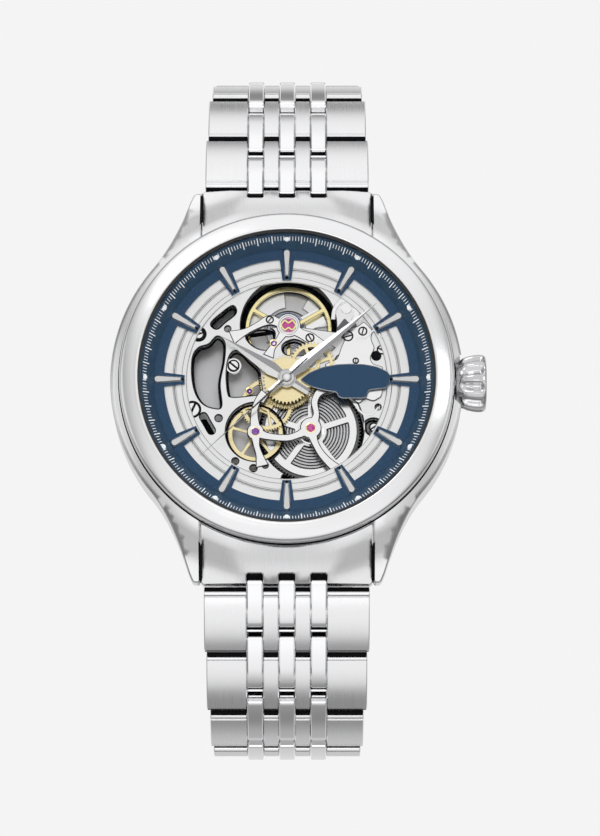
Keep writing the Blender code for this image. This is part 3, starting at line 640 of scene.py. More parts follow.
def track_mark(shape, at, inner, outer, half, proud=0.03):
    """One printed mark on the flange: a thin block that follows the slope."""
    corners = [(-half, inner), (half, inner), (half, outer), (-half, outer)]
    verts = []
    for lift in (-0.02, proud):
        verts += [(x, y, flange_height(y) + lift) for x, y in corners]
    turned = [(*turned_by([(x, y)], at)[0], h) for x, y, h in verts]
    faces = [(3, 2, 1, 0), (4, 5, 6, 7), (0, 1, 5, 4), (1, 2, 6, 5), (2, 3, 7, 6), (3, 0, 4, 7)]
    shape.add(turned, faces)


def baton_mesh(shape, at):
    """A tapered applied marker: flat brushed top, polished slopes and a round outer end."""
    half_in, half_out, inner, outer = 0.27, 0.50, 12.45, 15.85
    end = arc((0, outer - half_out), half_out, 0, 180, 10)
    loop = [(-half_in, inner), (half_in, inner)] + end
    base, top = DIAL_TOP - 0.02, DIAL_TOP + 0.34
    rims = [(loop, base), (loop, base + 0.14), (inset(loop, 0.16), top)]
    count = len(loop)
    verts = [(*turned_by([p], at)[0], h) for points, h in rims for p in points]
    caps = [tuple(range(2 * count, 3 * count)), tuple(range(count))[::-1]]
    shape.add(verts, wall_faces(count, 3) + caps)


def build_dial():
    low, high = DIAL_LOW, DIAL_TOP
    ring_r, tongue_r = 14.6, 12.15
    inner = []
    for k in range(12):
        at = 30 * k
        wide, narrow = math.degrees(0.70 / ring_r), math.degrees(0.52 / 12.1)
        inner += arc(CENTRE, ring_r, at - 30 + wide + 0.6, at - wide - 0.6, 12)
        inner += arc(CENTRE, tongue_r, at - narrow, at + narrow, 4)
    dial = Shape().plate([circle(CENTRE, 17.45, FINE), inner], low, high, 0.03)
    piece("blue_dial", "case", blue_lacquer, dial, ["dial_ring"])
    batons, pins = Shape(), Shape()
    for k in range(12):
        baton_mesh(batons, 30 * k)
        foot = turned_by([(0, 12.36)], 30 * k)[0]
        pins.rod(0.13, high + 0.02, high + 0.26, foot, 12, 0.02)
    piece("applied_batons", "case", hand_steel, batons)
    piece("baton_pins", "case", shade_and_pin_black, pins)

    (r0, h0), (r1, h1) = FLANGE
    flange = Shape().lathe([(r0, h0 - 0.04), (17.5, h0 - 0.04), (17.5, h1 + 0.03), (r1, h1 + 0.03),
                            (r0 + 0.03, h0)])
    piece("blue_flange", "case", blue_flange, flange, ["flange_ring"])
    marks, dots = Shape(), Shape()
    for k in range(TRACK_STEPS):
        if k % 25:
            mark = FIFTH_MARK if k % 5 else MINUTE_MARK
            track_mark(marks, k * 360 / TRACK_STEPS, *mark)
    for k in range(12):
        at = math.radians(30 * k)
        spot = (DOT_RADIUS * math.sin(at), DOT_RADIUS * math.cos(at))
        height = flange_height(DOT_RADIUS)
        dots.lathe([(0, height - 0.2), (0.31, height - 0.2), (0.31, height + 0.10),
                    (0.24, height + 0.18), (0, height + 0.22)], 20, spot, closed=False)
    piece("minute_track", "case", white_print_with_painted_glow, marks)
    piece("hour_dots", "case", white_print_with_painted_glow, dots)

    silver_low, silver_high = place("centre_ring")[1:3]
    edge = 11.9
    rings = [(edge, silver_low), (14.9, silver_low), (14.9, silver_high), (13.62, silver_high),
             (13.5, silver_high - 0.16), (13.28, silver_high - 0.16), (13.18, silver_high - 0.05),
             (12.55, silver_high - 0.05), (12.47, silver_high - 0.11), (edge + 0.1, silver_high - 0.11),
             (edge, silver_high - 0.18)]
    piece("silver_ring", "case", silver, Shape().lathe(rings), ["centre_ring"], sharp=20)
    # Thin dark rings in the grooves and at the inner edge: painted shade.
    groove_shade = Shape()
    for radius, base in ((13.40, silver_high - 0.16), (12.50, silver_high - 0.11),
                         (edge + 0.07, silver_high - 0.15)):
        groove_shade.lathe(rectangle(radius - 0.05, base - 0.02, radius + 0.05, base + 0.015))
    piece("groove_shade_rings", "case", dark_steel, groove_shade)

    low, high = place("name_plate")[1:3]
    lens = rounded([(1.55, -0.05), (2.5, 0.72), (3.4, 1.16), (4.5, 1.52), (6.0, 1.80), (7.6, 1.88),
                    (9.2, 1.82), (10.8, 1.50), (12.0, 0.92), (12.25, 0.5), (12.25, -0.45),
                    (11.85, -1.12), (9.75, -1.35), (9.45, -2.25), (9.0, -2.35), (6.5, -2.35),
                    (6.05, -2.1), (5.9, -1.6), (4.6, -1.42), (3.1, -1.02), (2.2, -0.58)], 0.3, 3)
    plaque = Shape().plate([lens], low, high, 0.10, wall=1)
    piece("blank_plaque", "case", [blue_lacquer, hand_steel], plaque, ["name_plate"])


# ---------------------------------------------------------------- hands

def lance(shape, at, length, tail, half, widest, tail_half, low, high):
    """A faceted hand: a ridge along the middle, both halves sloping to thin edges."""
    edge = low + 0.3 * (high - low)
    line = [(0, length), (half, widest), (tail_half, 0.2), (tail_half * 0.8, -tail * 0.92),
            (0, -tail), (-tail_half * 0.8, -tail * 0.92), (-tail_half, 0.2), (-half, widest)]
    count = len(line)
    ridge = [(0, length * 0.985), (0, widest), (0, 0.2), (0, -tail * 0.9), (0, -tail * 0.98),
             (0, -tail * 0.9), (0, 0.2), (0, widest)]
    verts = [(x, y, low) for x, y in line] + [(x, y, edge) for x, y in line]
    verts += [(x, y, high) for x, y in ridge]
    turned = [(*turned_by([(x, y)], at)[0], h) for x, y, h in verts]
    sides = [(b, c, d, a) for a, b, c, d in wall_faces(count, 3)]
    shape.add(turned, [tuple(range(count))[::-1]] + sides)
    half_count = count // 2
    # The upper facets of one half take the second slot, a darker steel that paints shade on that side of
    # the ridge.
    shape.slots[-half_count * 2:] = [1] * half_count + [0] * half_count


def hand_angle(node):
    """Clockwise angle of a hand at rest, from its tip: the point furthest from the pivot."""
    tip = max((v.co for v in frame["nodes"][node].data.vertices), key=lambda p: p.x ** 2 + p.z ** 2)
    return math.degrees(math.atan2(tip.x, tip.z)), math.hypot(tip.x, tip.z) / MM


def build_hands():
    for node, body, half, widest, tail, tail_half, hub, bore in (
            ("hour_hand", "hour", 0.84, 2.2, 3.4, 0.46, 1.10, 0.88),
            ("minute_hand", "minute", 0.76, 2.2, 2.9, 0.42, 0.90, 0.53),
            ("seconds_hand", "seconds", 0.13, 1.4, 3.5, 0.11, 0.50, 0.14)):
        at, length = hand_angle(node)
        _, low, high, _ = place(node)
        shape = Shape()
        lance(shape, at, length, tail, half, widest, tail_half, low + 0.03, high + 0.06)
        shape.lathe([(bore, low), (hub - 0.04, low), (hub, low + 0.04), (hub, high + 0.03),
                     (hub - 0.06, high + 0.08), (bore + 0.04, high + 0.08), (bore, high + 0.04)], 48)
        piece(node + "_blade", body, [hand_steel, hand_shade], shape, [node], sharp=12)
    cap = Shape().lathe([(0, 9.3), (0.34, 9.3), (0.34, 9.44), (0.26, 9.5), (0, 9.5)], 32, closed=False)
    piece("seconds_cap", "seconds", polished, cap)


# ---------------------------------------------------------------- flat shapes with cut-outs

def regions(add, remove=()):
    """Joins the loops in add, takes out those in remove and returns [[outer, hole, ...], ...]."""
    verts, faces = [], []
    for loop in list(add) + list(remove):
        faces.append(list(range(len(verts), len(verts) + len(loop))))
        verts += [Vector(p) for p in (loop if signed_area(loop) > 0 else loop[::-1])]
    points, _, tris, _, _, sources = geometry.delaunay_2d_cdt(verts, [], faces, 1, 1e-5)
    edges = {}
    for tri, source in zip(tris, sources):
        if not any(s < len(add) for s in source) or any(s >= len(add) for s in source):
            continue
        for a, b in zip(tri, list(tri[1:]) + [tri[0]]):
            if edges.pop((b, a), None) is None:
                edges[(a, b)] = True
    follow = {}
    for a, b in edges:
        follow.setdefault(a, []).append(b)
    loops = []
    while follow:
        start = next(iter(follow))
        loop, here = [], start
        while here in follow:
            loop.append(here)
            after = follow[here].pop()
            if not follow[here]:
                del follow[here]
            here = after
        loops.append([tuple(points[k]) for k in loop])
    tidy = []
    for loop in loops:
        kept = [p for k, p in enumerate(loop) if math.dist(p, loop[k - 1]) > 2e-3]
        if len(kept) > 2:
            tidy.append(kept)
    outers = [loop for loop in tidy if signed_area(loop) > 0]
    holes = [loop for loop in tidy if signed_area(loop) <= 0]
    return [[outer] + [h for h in holes if inside(outer, *h[0], 0)] for outer in outers]


def flat(shape, add, remove, low, high, bevel=0.03, wall=0):
    """A plate whose outline is worked out from loops that are joined and loops that are taken out."""
    for loops in regions(add, remove):
        shape.plate(loops, low, high, bevel, wall=wall)
    return shape


def stroke(points, widths, steps=6):
    """A band along a smooth open curve; its half width runs through the list."""
    def sample(values, t):
        k = min(int(t), len(values) - 2)
        f = t - k
        get = lambda n: values[max(0, min(len(values) - 1, n))]
        a, b, c, d = get(k - 1), get(k), get(k + 1), get(k + 2)
        mix = lambda p, q, r, s: 0.5 * (2 * q + (r - p) * f + (2 * p - 5 * q + 4 * r - s) * f * f
                                        + (3 * q - p - 3 * r + s) * f ** 3)
        return tuple(map(mix, a, b, c, d)) if isinstance(a, tuple) else mix(a, b, c, d)

    line = [(sample(points, k / steps), sample(widths, k / steps))
            for k in range((len(points) - 1) * steps + 1)]
    left, right = [], []
    for k, (p, w) in enumerate(line):
        a, b = line[max(k - 1, 0)][0], line[min(k + 1, len(line) - 1)][0]
        run = Vector((b[0] - a[0], b[1] - a[1])).normalized()
        left.append((p[0] - run.y * w, p[1] + run.x * w))
        right.append((p[0] + run.y * w, p[1] - run.x * w))
    return right + left[::-1]


# ---------------------------------------------------------------- wheels

def gear(teeth, pitch_radius, phase=0.0, tip=0.8, root=1.1):
    """A toothed outline; tip and root are in modules."""
    module = 2 * pitch_radius / teeth
    top, low = pitch_radius + tip * module, pitch_radius - root * module
    loop = []
    for k in range(teeth):
        at = phase + 360 * k / teeth
        step = 360 / teeth
        for share, radius in ((-0.30, low), (-0.22, pitch_radius), (-0.10, top), (0.10, top),
                              (0.22, pitch_radius), (0.30, low)):
            a = math.radians(at + share * step)
            loop.append((radius * math.cos(a), radius * math.sin(a)))
    return loop


def spokes(count, inner, outer, arm, phase):
    """The windows between a wheel's arms, with rounded corners."""
    windows = []
    for k in range(count):
        at = phase + 360 * k / count
        near = math.degrees(math.asin(min(arm / 2 / inner, 0.9)))
        far = math.degrees(math.asin(arm / 2 / outer))
        loop = arc(CENTRE, outer, at + far, at + 360 / count - far, 14)
        loop += arc(CENTRE, inner, at + 360 / count - near, at + near, 6)
        windows.append(rounded(loop, 0.10, 2))
    return windows


def moved(loop, centre):
    return [(x + centre[0], y + centre[1]) for x, y in loop]


def wheel(shape, centre, outline, windows, low, high, bore=0.0, bevel=0.02, wall=0):
    loops = [moved(outline, centre)] + [moved(w, centre) for w in windows]
    if bore:
        loops.append(circle(centre, bore, 32))
    return shape.plate(loops, low, high, bevel, wall=wall)


def ribbon(shape, centre, inner, outer, turns, half, low, high):
    """A flat spring coiled from inner to outer radius."""
    steps = 56
    count = int(turns * steps)
    line = []
    for k in range(count + 1):
        a = math.radians(360 * turns * k / count)
        r = inner + (outer - inner) * k / count
        line.append(((r - half) * math.cos(a), (r - half) * math.sin(a)))
        line.append(((r + half) * math.cos(a), (r + half) * math.sin(a)))
    verts, faces = [], []
    for height in (low, high):
        verts += [(x + centre[0], y + centre[1], height) for x, y in line]
    size = len(line)
    for k in range(count):
        a, b, c, d = 2 * k, 2 * k + 1, 2 * k + 3, 2 * k + 2
        faces += [(size + a, size + b, size + c, size + d), (a, d, c, b),
                  (b, c, size + c, size + b), (d, a, size + a, size + d)]
    faces += [(0, 1, size + 1, size), (size - 1, size - 2, 2 * size - 2, 2 * size - 1)]
    return shape.add(verts, faces)


def screw_head(heads, pits, centre, radius, top, turn):
    """A domed slotted screw in a counterbore, a black disc that paints its shade."""
    half = radius * 0.15
    cut = math.degrees(math.asin(half / radius))
    for side in (0, 180):
        loop = arc(centre, radius, turn + side + cut, turn + side + 180 - cut, 14)
        heads.plate([loop], top - 0.22, top + 0.06, 0.05)
    pits.rod(radius + 0.14, top - 0.14, top + 0.012, centre, 32, 0.004)


def jewel(stones, rings, centre, radius, top):
    """A cupped ruby in a bright setting."""
    stones.lathe([(0, top - 0.2), (radius, top - 0.2), (radius, top + 0.03), (radius * 0.8, top + 0.09),
                  (radius * 0.42, top + 0.01), (radius * 0.22, top - 0.06), (0, top - 0.08)],
                 32, centre, closed=False)
    rings.lathe([(radius - 0.02, top - 0.1), (radius + 0.13, top - 0.1), (radius + 0.13, top + 0.04),
                 (radius + 0.05, top + 0.07), (radius - 0.02, top + 0.03)], 32, centre)


# ---------------------------------------------------------------- movement

def build_main_plate():
    low, top = PLATE_LOW, PLATE_TOP
    screw_post, jewel_post = (-6.35, 1.95), (-4.43, -1.1)
    balance_window = sector(BALANCE, 1.2, 5.72, -8, 188, 48)
    openings = [
        balance_window,
        smooth_loop([(-4.9, 5.4), (-4.1, 6.25), (-2.6, 6.5), (-1.55, 6.1), (-1.45, 5.2), (-1.95, 3.95),
                     (-3.05, 3.75), (-4.3, 4.4)]),
        smooth_loop([(-0.5, 4.35), (0.8, 5.0), (2.2, 4.5), (3.3, 3.6), (1.9, 3.05), (-0.2, 3.2)]),
        smooth_loop([(-9.0, 7.1), (-7.7, 8.3), (-6.55, 9.1), (-6.05, 8.7), (-6.2, 8.0), (-7.3, 7.1),
                     (-8.2, 6.3), (-8.85, 6.45)]),
        smooth_loop([(-11.2, 2.9), (-10.5, 4.0), (-9.3, 4.45), (-8.3, 5.4), (-7.4, 4.6), (-7.45, 2.4),
                     (-7.95, -0.3), (-7.75, -3.1), (-8.7, -3.35), (-10.0, -2.8), (-10.9, -1.4),
                     (-11.3, 0.7)]),
        smooth_loop([(-6.95, 2.7), (-6.3, 3.6), (-5.3, 3.4), (-4.35, 2.4), (-3.3, 1.3), (-3.1, 0.0),
                     (-3.0, -1.5), (-4.4, -1.85), (-6.5, -2.0), (-7.0, -1.5), (-7.2, 0.8)]),
        circle((-7.05, 6.3), 0.36, 24), circle((-8.1, -4.55), 0.42, 24),
        slot_loop((-9.9, -4.35), (-8.95, -6.05), 0.46),
        circle((-6.1, -9.75), 0.40, 24), circle((-3.95, -10.6), 0.42, 24),
        circle((-2.55, -10.25), 0.34, 24),
        circle(GREAT, 3.56, 64), circle(BARREL, 6.32, 96), circle(CENTRE, 0.62, 24),
        circle((0.1, -11.9), 0.75, 32), circle((10.85, -3.2), 0.34, 20),
        smooth_loop([(9.3, -5.0), (10.2, -4.55), (11.2, -4.9), (11.3, -6.0), (10.3, -6.7), (9.4, -6.2)]),
    ]
    # Small holes get a black floor. The others get a black rim, wide and deep if their outline is long.
    # Both paint the shade under the openings.
    shaded = Shape()
    floor_top = place("train_bridge")[2]
    for opening in openings:
        loop = opening if signed_area(opening) > 0 else opening[::-1]
        if signed_area(loop) < 3:
            flat(shaded, [loop], [], floor_top + 0.01, floor_top + 0.05, 0.0)
        elif len(loop) > 90 or opening is balance_window:
            flat(shaded, [loop], [inset(loop, 0.5)], floor_top + 0.01, floor_top + 0.05, 0.0)
        else:
            flat(shaded, [loop], [inset(loop, 0.26)], low - 0.45, low - 0.40, 0.0)
    piece("shaded_seats", "case", shade_and_pin_black, shaded)
    arms = [
        stroke([(-6.6, 5.2), (-4.9, 5.95), (-3.4, 6.75), (-2.05, 7.35), (-0.9, 7.0), BALANCE],
               [0.9, 0.42, 0.42, 0.62, 0.55, 0.9]),
        stroke([BALANCE, (1.6, 5.75), (2.75, 5.2), (4.2, 4.4), (5.2, 3.4)], [0.9, 0.6, 0.72, 0.5, 0.9]),
        stroke([BALANCE, (-0.9, 5.0), (-1.7, 4.0), (-2.2, 2.9)], [0.7, 0.42, 0.40, 0.7]),
        circle(BALANCE, 1.46, 48),
    ]
    body = Shape()
    flat(body, [circle(CENTRE, 15.9, FINE)], openings, low, top, 0.10, 1)
    piece("main_plate_web", "case", [plate_steel, painted_shade_wall_steel], body,
          ["main_plate"], sharp=20)
    upper = Shape()
    flat(upper, arms, [circle(BALANCE, 0.9, 32)], low + 0.12, top + 0.10, 0.10, 1)
    piece("balance_bridge", "case", [bright, painted_shade_wall_steel], upper, sharp=20)

    bridge = [
        stroke([(-2.6, -1.4), (-3.45, -2.5), (-3.85, -3.9), GREAT], [0.55, 0.42, 0.45, 0.7]),
        stroke([GREAT, (-2.3, -6.75), (0.0, -6.95), (1.5, -6.5), BARREL], [0.7, 0.46, 0.44, 0.48, 0.8]),
        stroke([GREAT, (-3.6, -7.8), (-3.25, -9.0), (-2.9, -10.4)], [0.7, 0.42, 0.46, 0.8]),
        stroke([BARREL, (3.5, -4.2), (3.3, -2.6), (3.9, -1.4), (5.2, -0.6)], [0.8, 0.42, 0.44, 0.5, 0.9]),
        stroke([BARREL, (3.3, -7.4), (4.2, -9.0), (5.7, -10.5), (7.0, -11.3)],
               [0.8, 0.46, 0.46, 0.6, 1.0]),
        circle(GREAT, 1.02, 40), circle(BARREL, 1.28, 48),
    ]
    arms = Shape()
    flat(arms, bridge, [circle(GREAT, 0.42, 24), circle(BARREL, 0.5, 24)],
         low + 0.15, top + 0.14, 0.11, 1)
    piece("gear_bridge", "case", [bright, painted_shade_wall_steel], arms, sharp=20)

    heads, pits, stones, violet, rings = Shape(), Shape(), Shape(), Shape(), Shape()
    for centre, radius, height, turn in (
            ((-11.2, -3.5), 0.80, top, 65), ((-10.5, 5.65), 0.52, top, 20),
            ((-2.03, 7.38), 0.36, top + 0.10, 50), ((2.76, 5.18), 0.42, top + 0.10, 120),
            ((10.35, -5.6), 0.46, top - 0.35, 30), ((9.05, 5.95), 0.42, 7.37, 75),
            ((11.3, 3.75), 0.46, 7.1, 155), ((6.45, 2.45), 0.62, 7.12, 35),
            ((7.1, 8.75), 0.44, 7.1, 10), ((8.2, 2.35), 0.26, 7.37, 90), (screw_post, 0.58, 6.5, 140),
            ((7.3, 5.35), 0.5, 7.37, 15)):
        screw_head(heads, pits, centre, radius, height, turn)
    # Wider black sinks at three places: painted shade.
    for centre, radius in (((-10.5, 5.65), 0.95), ((10.65, 3.0), 0.62), ((-11.2, -3.5), 1.05)):
        pits.rod(radius, top - 0.05, top + 0.008, centre, 40, 0.004)
    jewel(stones, rings, BARREL, 0.50, top + 0.10)
    jewel(violet, rings, GREAT, 0.46, top + 0.10)
    jewel(violet, rings, (-1.55, 4.5), 0.36, top + 0.07)
    jewel(violet, rings, jewel_post, 0.34, 6.15)
    piece("movement_screws", "case", bright, heads)
    piece("screw_recesses", "case", shade_and_pin_black, pits)
    piece("ruby_bearings", "case", ruby, stones)
    piece("violet_bearings", "case", purple_ruby, violet)
    piece("bearing_settings", "case", gold_edge, rings)
    posts = Shape()
    posts.rod(0.95, low - 0.6, 6.3, screw_post, 32)
    posts.rod(0.5, low - 0.7, 6.1, jewel_post, 32)
    piece("screw_posts", "case", bright, posts)


def build_shock_setting():
    """The spring-held jewel over the balance: cup, ruby and a lyre spring on top."""
    top = PLATE_TOP + 0.10
    cup = Shape().lathe([(0.92, top - 0.4), (1.2, top - 0.4), (1.2, top + 0.06), (1.12, top + 0.13),
                         (0.96, top + 0.13), (0.92, top + 0.06)], 48, BALANCE)
    piece("shock_cup", "case", bright, cup)
    stone = Shape().lathe([(0, top - 0.3), (0.9, top - 0.3), (0.9, top - 0.12), (0.6, top - 0.02),
                           (0, top)], 40, BALANCE, closed=False)
    piece("shock_jewel", "case", ruby, stone)
    lyre = Shape()
    bars = [stroke([(-0.85, 0.1 * way), (-0.45, 0.55 * way), (0.0, 0.30 * way), (0.45, 0.55 * way),
                    (0.85, 0.1 * way)], [0.10, 0.09, 0.10, 0.09, 0.10]) for way in (1, -1)]
    bars += [stroke([(0.9 * way, -0.25), (0.86 * way, 0.0), (0.9 * way, 0.25)], [0.08, 0.10, 0.08])
             for way in (-1, 1)]
    flat(lyre, [moved(loop, BALANCE) for loop in bars], [], top + 0.01, top + 0.09, 0.02)
    piece("lyre_spring", "case", gold_edge, lyre)


def build_keyless_side():
    """The polished cover at the winding side, its springs and the parts that it holds."""
    low, high = place("keyless_cover")[1:3]
    outline = rounded([(6.5, 4.1), (6.0, 2.6), (4.4, 1.9), (6.6, -0.2), (6.9, -1.7), (8.6, -2.9),
                       (9.3, -2.2), (10.3, -2.6), (11.3, -2.0), (11.5, -0.4), (11.0, 0.6), (11.55, 1.6),
                       (10.2, 2.0), (9.9, 2.7), (10.5, 3.9), (10.0, 5.1), (10.3, 6.0), (9.2, 7.2),
                       (8.4, 6.5), (7.6, 6.4)], 0.35, 3)
    cover = Shape()
    flat(cover, [outline], [circle((8.2, 2.35), 0.22, 16)], low + 0.02, high, 0.09, 1)
    piece("setting_cover", "case", [bright, painted_shade_wall_steel], cover,
          ["keyless_cover"], sharp=20)
    under = Shape()
    ragged = rounded([(5.9, 6.3), (6.6, 5.0), (7.2, 5.6), (7.9, 5.4), (8.5, 6.2), (8.1, 7.3), (7.4, 7.0),
                      (6.9, 7.6)], 0.2, 2)
    flat(under, [ragged], [], PLATE_TOP - 0.02, PLATE_TOP + 0.10, 0.03)
    piece("setting_lever", "case", dark_steel, under)
    hook = Shape()
    flat(hook, [stroke([(5.5, 7.4), (5.75, 8.8), (6.7, 9.75), (7.9, 9.35), (8.35, 8.2), (7.9, 7.2)],
                       [0.26, 0.26, 0.28, 0.3, 0.34, 0.3]), circle((7.1, 8.75), 0.66, 28)],
         [], PLATE_TOP - 0.02, PLATE_TOP + 0.16, 0.05)
    flat(hook, [stroke([(8.3, 5.0), (9.4, 5.2), (10.5, 6.1), (11.3, 5.2)], [0.10, 0.12, 0.10, 0.08])],
         [], high + 0.005, high + 0.10, 0.02)
    flat(hook, [stroke([(8.2, -3.2), (9.2, -4.1), (10.2, -4.0), (10.9, -3.2)], [0.10, 0.14, 0.12, 0.10])],
         [], PLATE_TOP - 0.02, PLATE_TOP + 0.10, 0.02)
    piece("click_springs", "case", bright, hook, sharp=20)
    cap = Shape()
    flat(cap, [circle(MINUTE_POST, 0.55, 24)], [], 7.72, 7.78, 0.02)
    piece("minute_wheel_cap", "minute_wheel", bright, cap)


def build_wheels():
    gold = Shape()
    high = place("hour_wheel")[2]
    wheel(gold, CENTRE, gear(40, 2.84), [], 7.57, 7.70, 0.84)
    gold.lathe(rectangle(0.62, 7.6, 0.85, high), 40)
    piece("hour_wheel_gold", "hour", gilt, gold, ["hour_wheel"], sharp=20)

    gold = Shape()
    wheel(gold, MINUTE_POST, gear(36, 2.6625, 5), spokes(4, 0.95, 2.1, 0.4, 20), 7.3, 7.42, 0.16)
    wheel(gold, MINUTE_POST, gear(10, 0.71), [], 7.36, 7.7, 0.16)
    piece("minute_wheel_gold", "minute_wheel", gilt, gold, ["minute_wheel"], sharp=20)

    # Each wheel of the train: outline, windows and heights, then its pinion's, then its arbor.
    for name, body, centre, outline, windows, heights, pinion, pinion_heights, arbor, arbor_top in (
            ("great_wheel", "great_wheel", GREAT, gear(64, 3.36), spokes(5, 1.0, 2.75, 0.36, 20),
             (5.35, 5.5), gear(10, 0.66, 18), (4.45, 5.36), 0.2, 6.3),
            ("third_wheel", "third_wheel", THIRD, gear(60, 3.15, 3), spokes(4, 0.8, 2.6, 0.32, 10),
             (5.75, 5.9), gear(8, 0.42, 10), (5.28, 5.8), 0.18, 6.3),
            ("seconds_wheel", "seconds", CENTRE, gear(72, 3.24), spokes(4, 0.7, 2.75, 0.3, 45),
             (6.05, 6.2), gear(8, 0.42, 22), (5.68, 6.1), 0.12, 9.38)):
        gold = Shape()
        wheel(gold, centre, outline, windows, *heights, 0.1, 0.03)
        wheel(gold, centre, pinion, [], *pinion_heights, 0.1)
        gold.rod(arbor, 3.1, arbor_top, centre, 24)
        piece(name + "_gold", body, gilt, gold, [name], sharp=20)

    drum = Shape()
    wheel(drum, BARREL, gear(90, 5.95), [], 4.55, 4.9, 4.96, 0.04)
    drum.lathe([(1.27, 3.42), (5.38, 3.42), (5.38, 4.98), (4.97, 4.98), (4.97, 3.74), (1.27, 3.74)],
               96, BARREL)
    piece("barrel_drum", "barrel", dark_steel, drum, ["barrel"], sharp=20)
    cover = Shape()
    wheel(cover, BARREL, circle(CENTRE, 5.5, 128), spokes(5, 1.9, 4.6, 0.74, 90),
          5.05, 5.2, 1.0, 0.04, 1)
    cover.lathe([(1.0, 5.1), (1.55, 5.1), (1.55, 5.26), (1.45, 5.3), (1.0, 5.3)], 48, BARREL)
    piece("barrel_lid", "barrel", [bright, painted_shade_wall_steel], cover,
          ["barrel_cover"], sharp=20)
    coil = Shape()
    ribbon(coil, BARREL, 1.5, 4.75, 9, 0.10, 3.78, 4.80)
    piece("mainspring_coils", "barrel", spring_steel, coil, ["mainspring"], sharp=20)

    rim = Shape()
    wheel(rim, BALANCE, circle(CENTRE, 5.18, 128), spokes(3, 0.8, 4.7, 0.5, 30), 4.36, 4.84, 0.18, 0.06)
    for k in range(12):
        at = math.radians(30 * k + 15)
        spot = (BALANCE[0] + 4.93 * math.cos(at), BALANCE[1] + 4.93 * math.sin(at))
        rim.rod(0.13, 4.83, 4.9, spot, 16, 0.02)
    piece("balance_rim", "balance", gold_edge, rim, sharp=20)
    staff = Shape()
    staff.rod(0.2, 3.6, 6.25, BALANCE, 24)
    staff.lathe(rectangle(0.2, 4.3, 0.62, 4.42), 32, BALANCE)
    piece("balance_staff", "balance", polished, staff, ["balance_wheel"])
    hair = Shape()
    ribbon(hair, BALANCE, 0.5, 2.3, 9, 0.03, 3.9, 4.05)
    piece("hairspring_coils", "case", blued, hair, ["hairspring"], sharp=20)


def build_back_bridges():
    low, high = place("train_bridge")[1:3]
    windows = [rounded(sector(CENTRE, 6.5, 11.4, -40, 20), 0.4, 3), circle(BALANCE, 2.6, 48)]
    body = Shape()
    flat(body, [circle(CENTRE, 12.58, 128)], windows, low + 0.02, high, 0.08, 1)
    seam = rectangle(0.30, 9.4, 0.36, 12.3)
    piece("train_bridge_plate", "case", [darkened_floor_steel, painted_shade_wall_steel], body,
          ["train_bridge"], sharp=20)
    over = Shape()
    flat(over, [sector(BALANCE, 2.9, 5.6, 96, 176, 24)], [], high, high + 0.5, 0.06)
    flat(over, [sector(BALANCE, 3.3, 5.4, 8, 60, 24)], [seam], high, high + 0.35, 0.06)
    piece("balance_floor", "case", plate_steel, over, sharp=20)
    # A black crescent round the balance well: painted shade.
    rim = Shape()
    flat(rim, [sector(BALANCE, 4.75, 6.0, -6, 186, 48)], [], high + 0.52, high + 0.60, 0.0)
    piece("balance_well_shade", "case", shade_and_pin_black, rim)


# ---------------------------------------------------------------- crown

def eased(value):
    """A smooth step from 0 to 1."""
    value = max(0.0, min(1.0, value))
    return value * value * (3 - 2 * value)


def build_crown():
    """Ten rounded flutes between a smooth collar and a smooth end rim."""
    profile = [(1.5, 20.1), (2.3, 20.12), (2.62, 20.5), (3.0, 20.95), (3.22, 21.5), (3.38, 22.2),
               (3.44, 22.8), (3.42, 23.25), (3.30, 23.55), (3.08, 23.72), (2.2, 23.78), (0, 23.8)]
    profile = [(r0 + (r1 - r0) * k / 4, x0 + (x1 - x0) * k / 4)
               for (r0, x0), (r1, x1) in zip(profile, profile[1:]) for k in range(4)] + [(0, 23.8)]
    steps, flutes = 240, 10
    verts, rows = [], []
    for radius, x in profile:
        if radius == 0:
            rows.append([len(verts)] * steps)
            verts.append((0, 0, x))
            continue
        rows.append(list(range(len(verts), len(verts) + steps)))
        share = eased((x - 20.3) / 1.3) * eased((23.6 - x) / 0.6)
        for k in range(steps):
            a = 2 * math.pi * k / steps
            gap = ((a * flutes / (2 * math.pi)) % 1.0 - 0.5) * 2 * math.pi / flutes * radius
            dip = 0.62 * eased(1.15 - abs(gap) / 0.70) * share
            verts.append(((radius - dip) * math.cos(a), (radius - dip) * math.sin(a), x))
    bore = [(0, 22.2), (1.5, 22.2)]
    for radius, x in bore:
        rows.append([len(verts)] * steps if radius == 0
                    else list(range(len(verts), len(verts) + steps)))
        verts += [(0, 0, x)] if radius == 0 else [(px, py, x) for px, py in circle(CENTRE, radius, steps)]
    shape = Shape().add(verts, row_faces(rows[-2:] + rows[:-2]), along_x(CROWN_D))
    piece("fluted_crown", "crown", crown_steel, shape, ["crown"], sharp=55)
    stem = Shape().rod(0.45, 9.8, 22.1, steps=32, matrix=along_x(CROWN_D))
    stem.rod(0.55, 10.4, 12.2, steps=24, matrix=along_x(CROWN_D))
    piece("stem_rod", "crown", polished, stem, ["winding_stem"])


# ---------------------------------------------------------------- bracelet

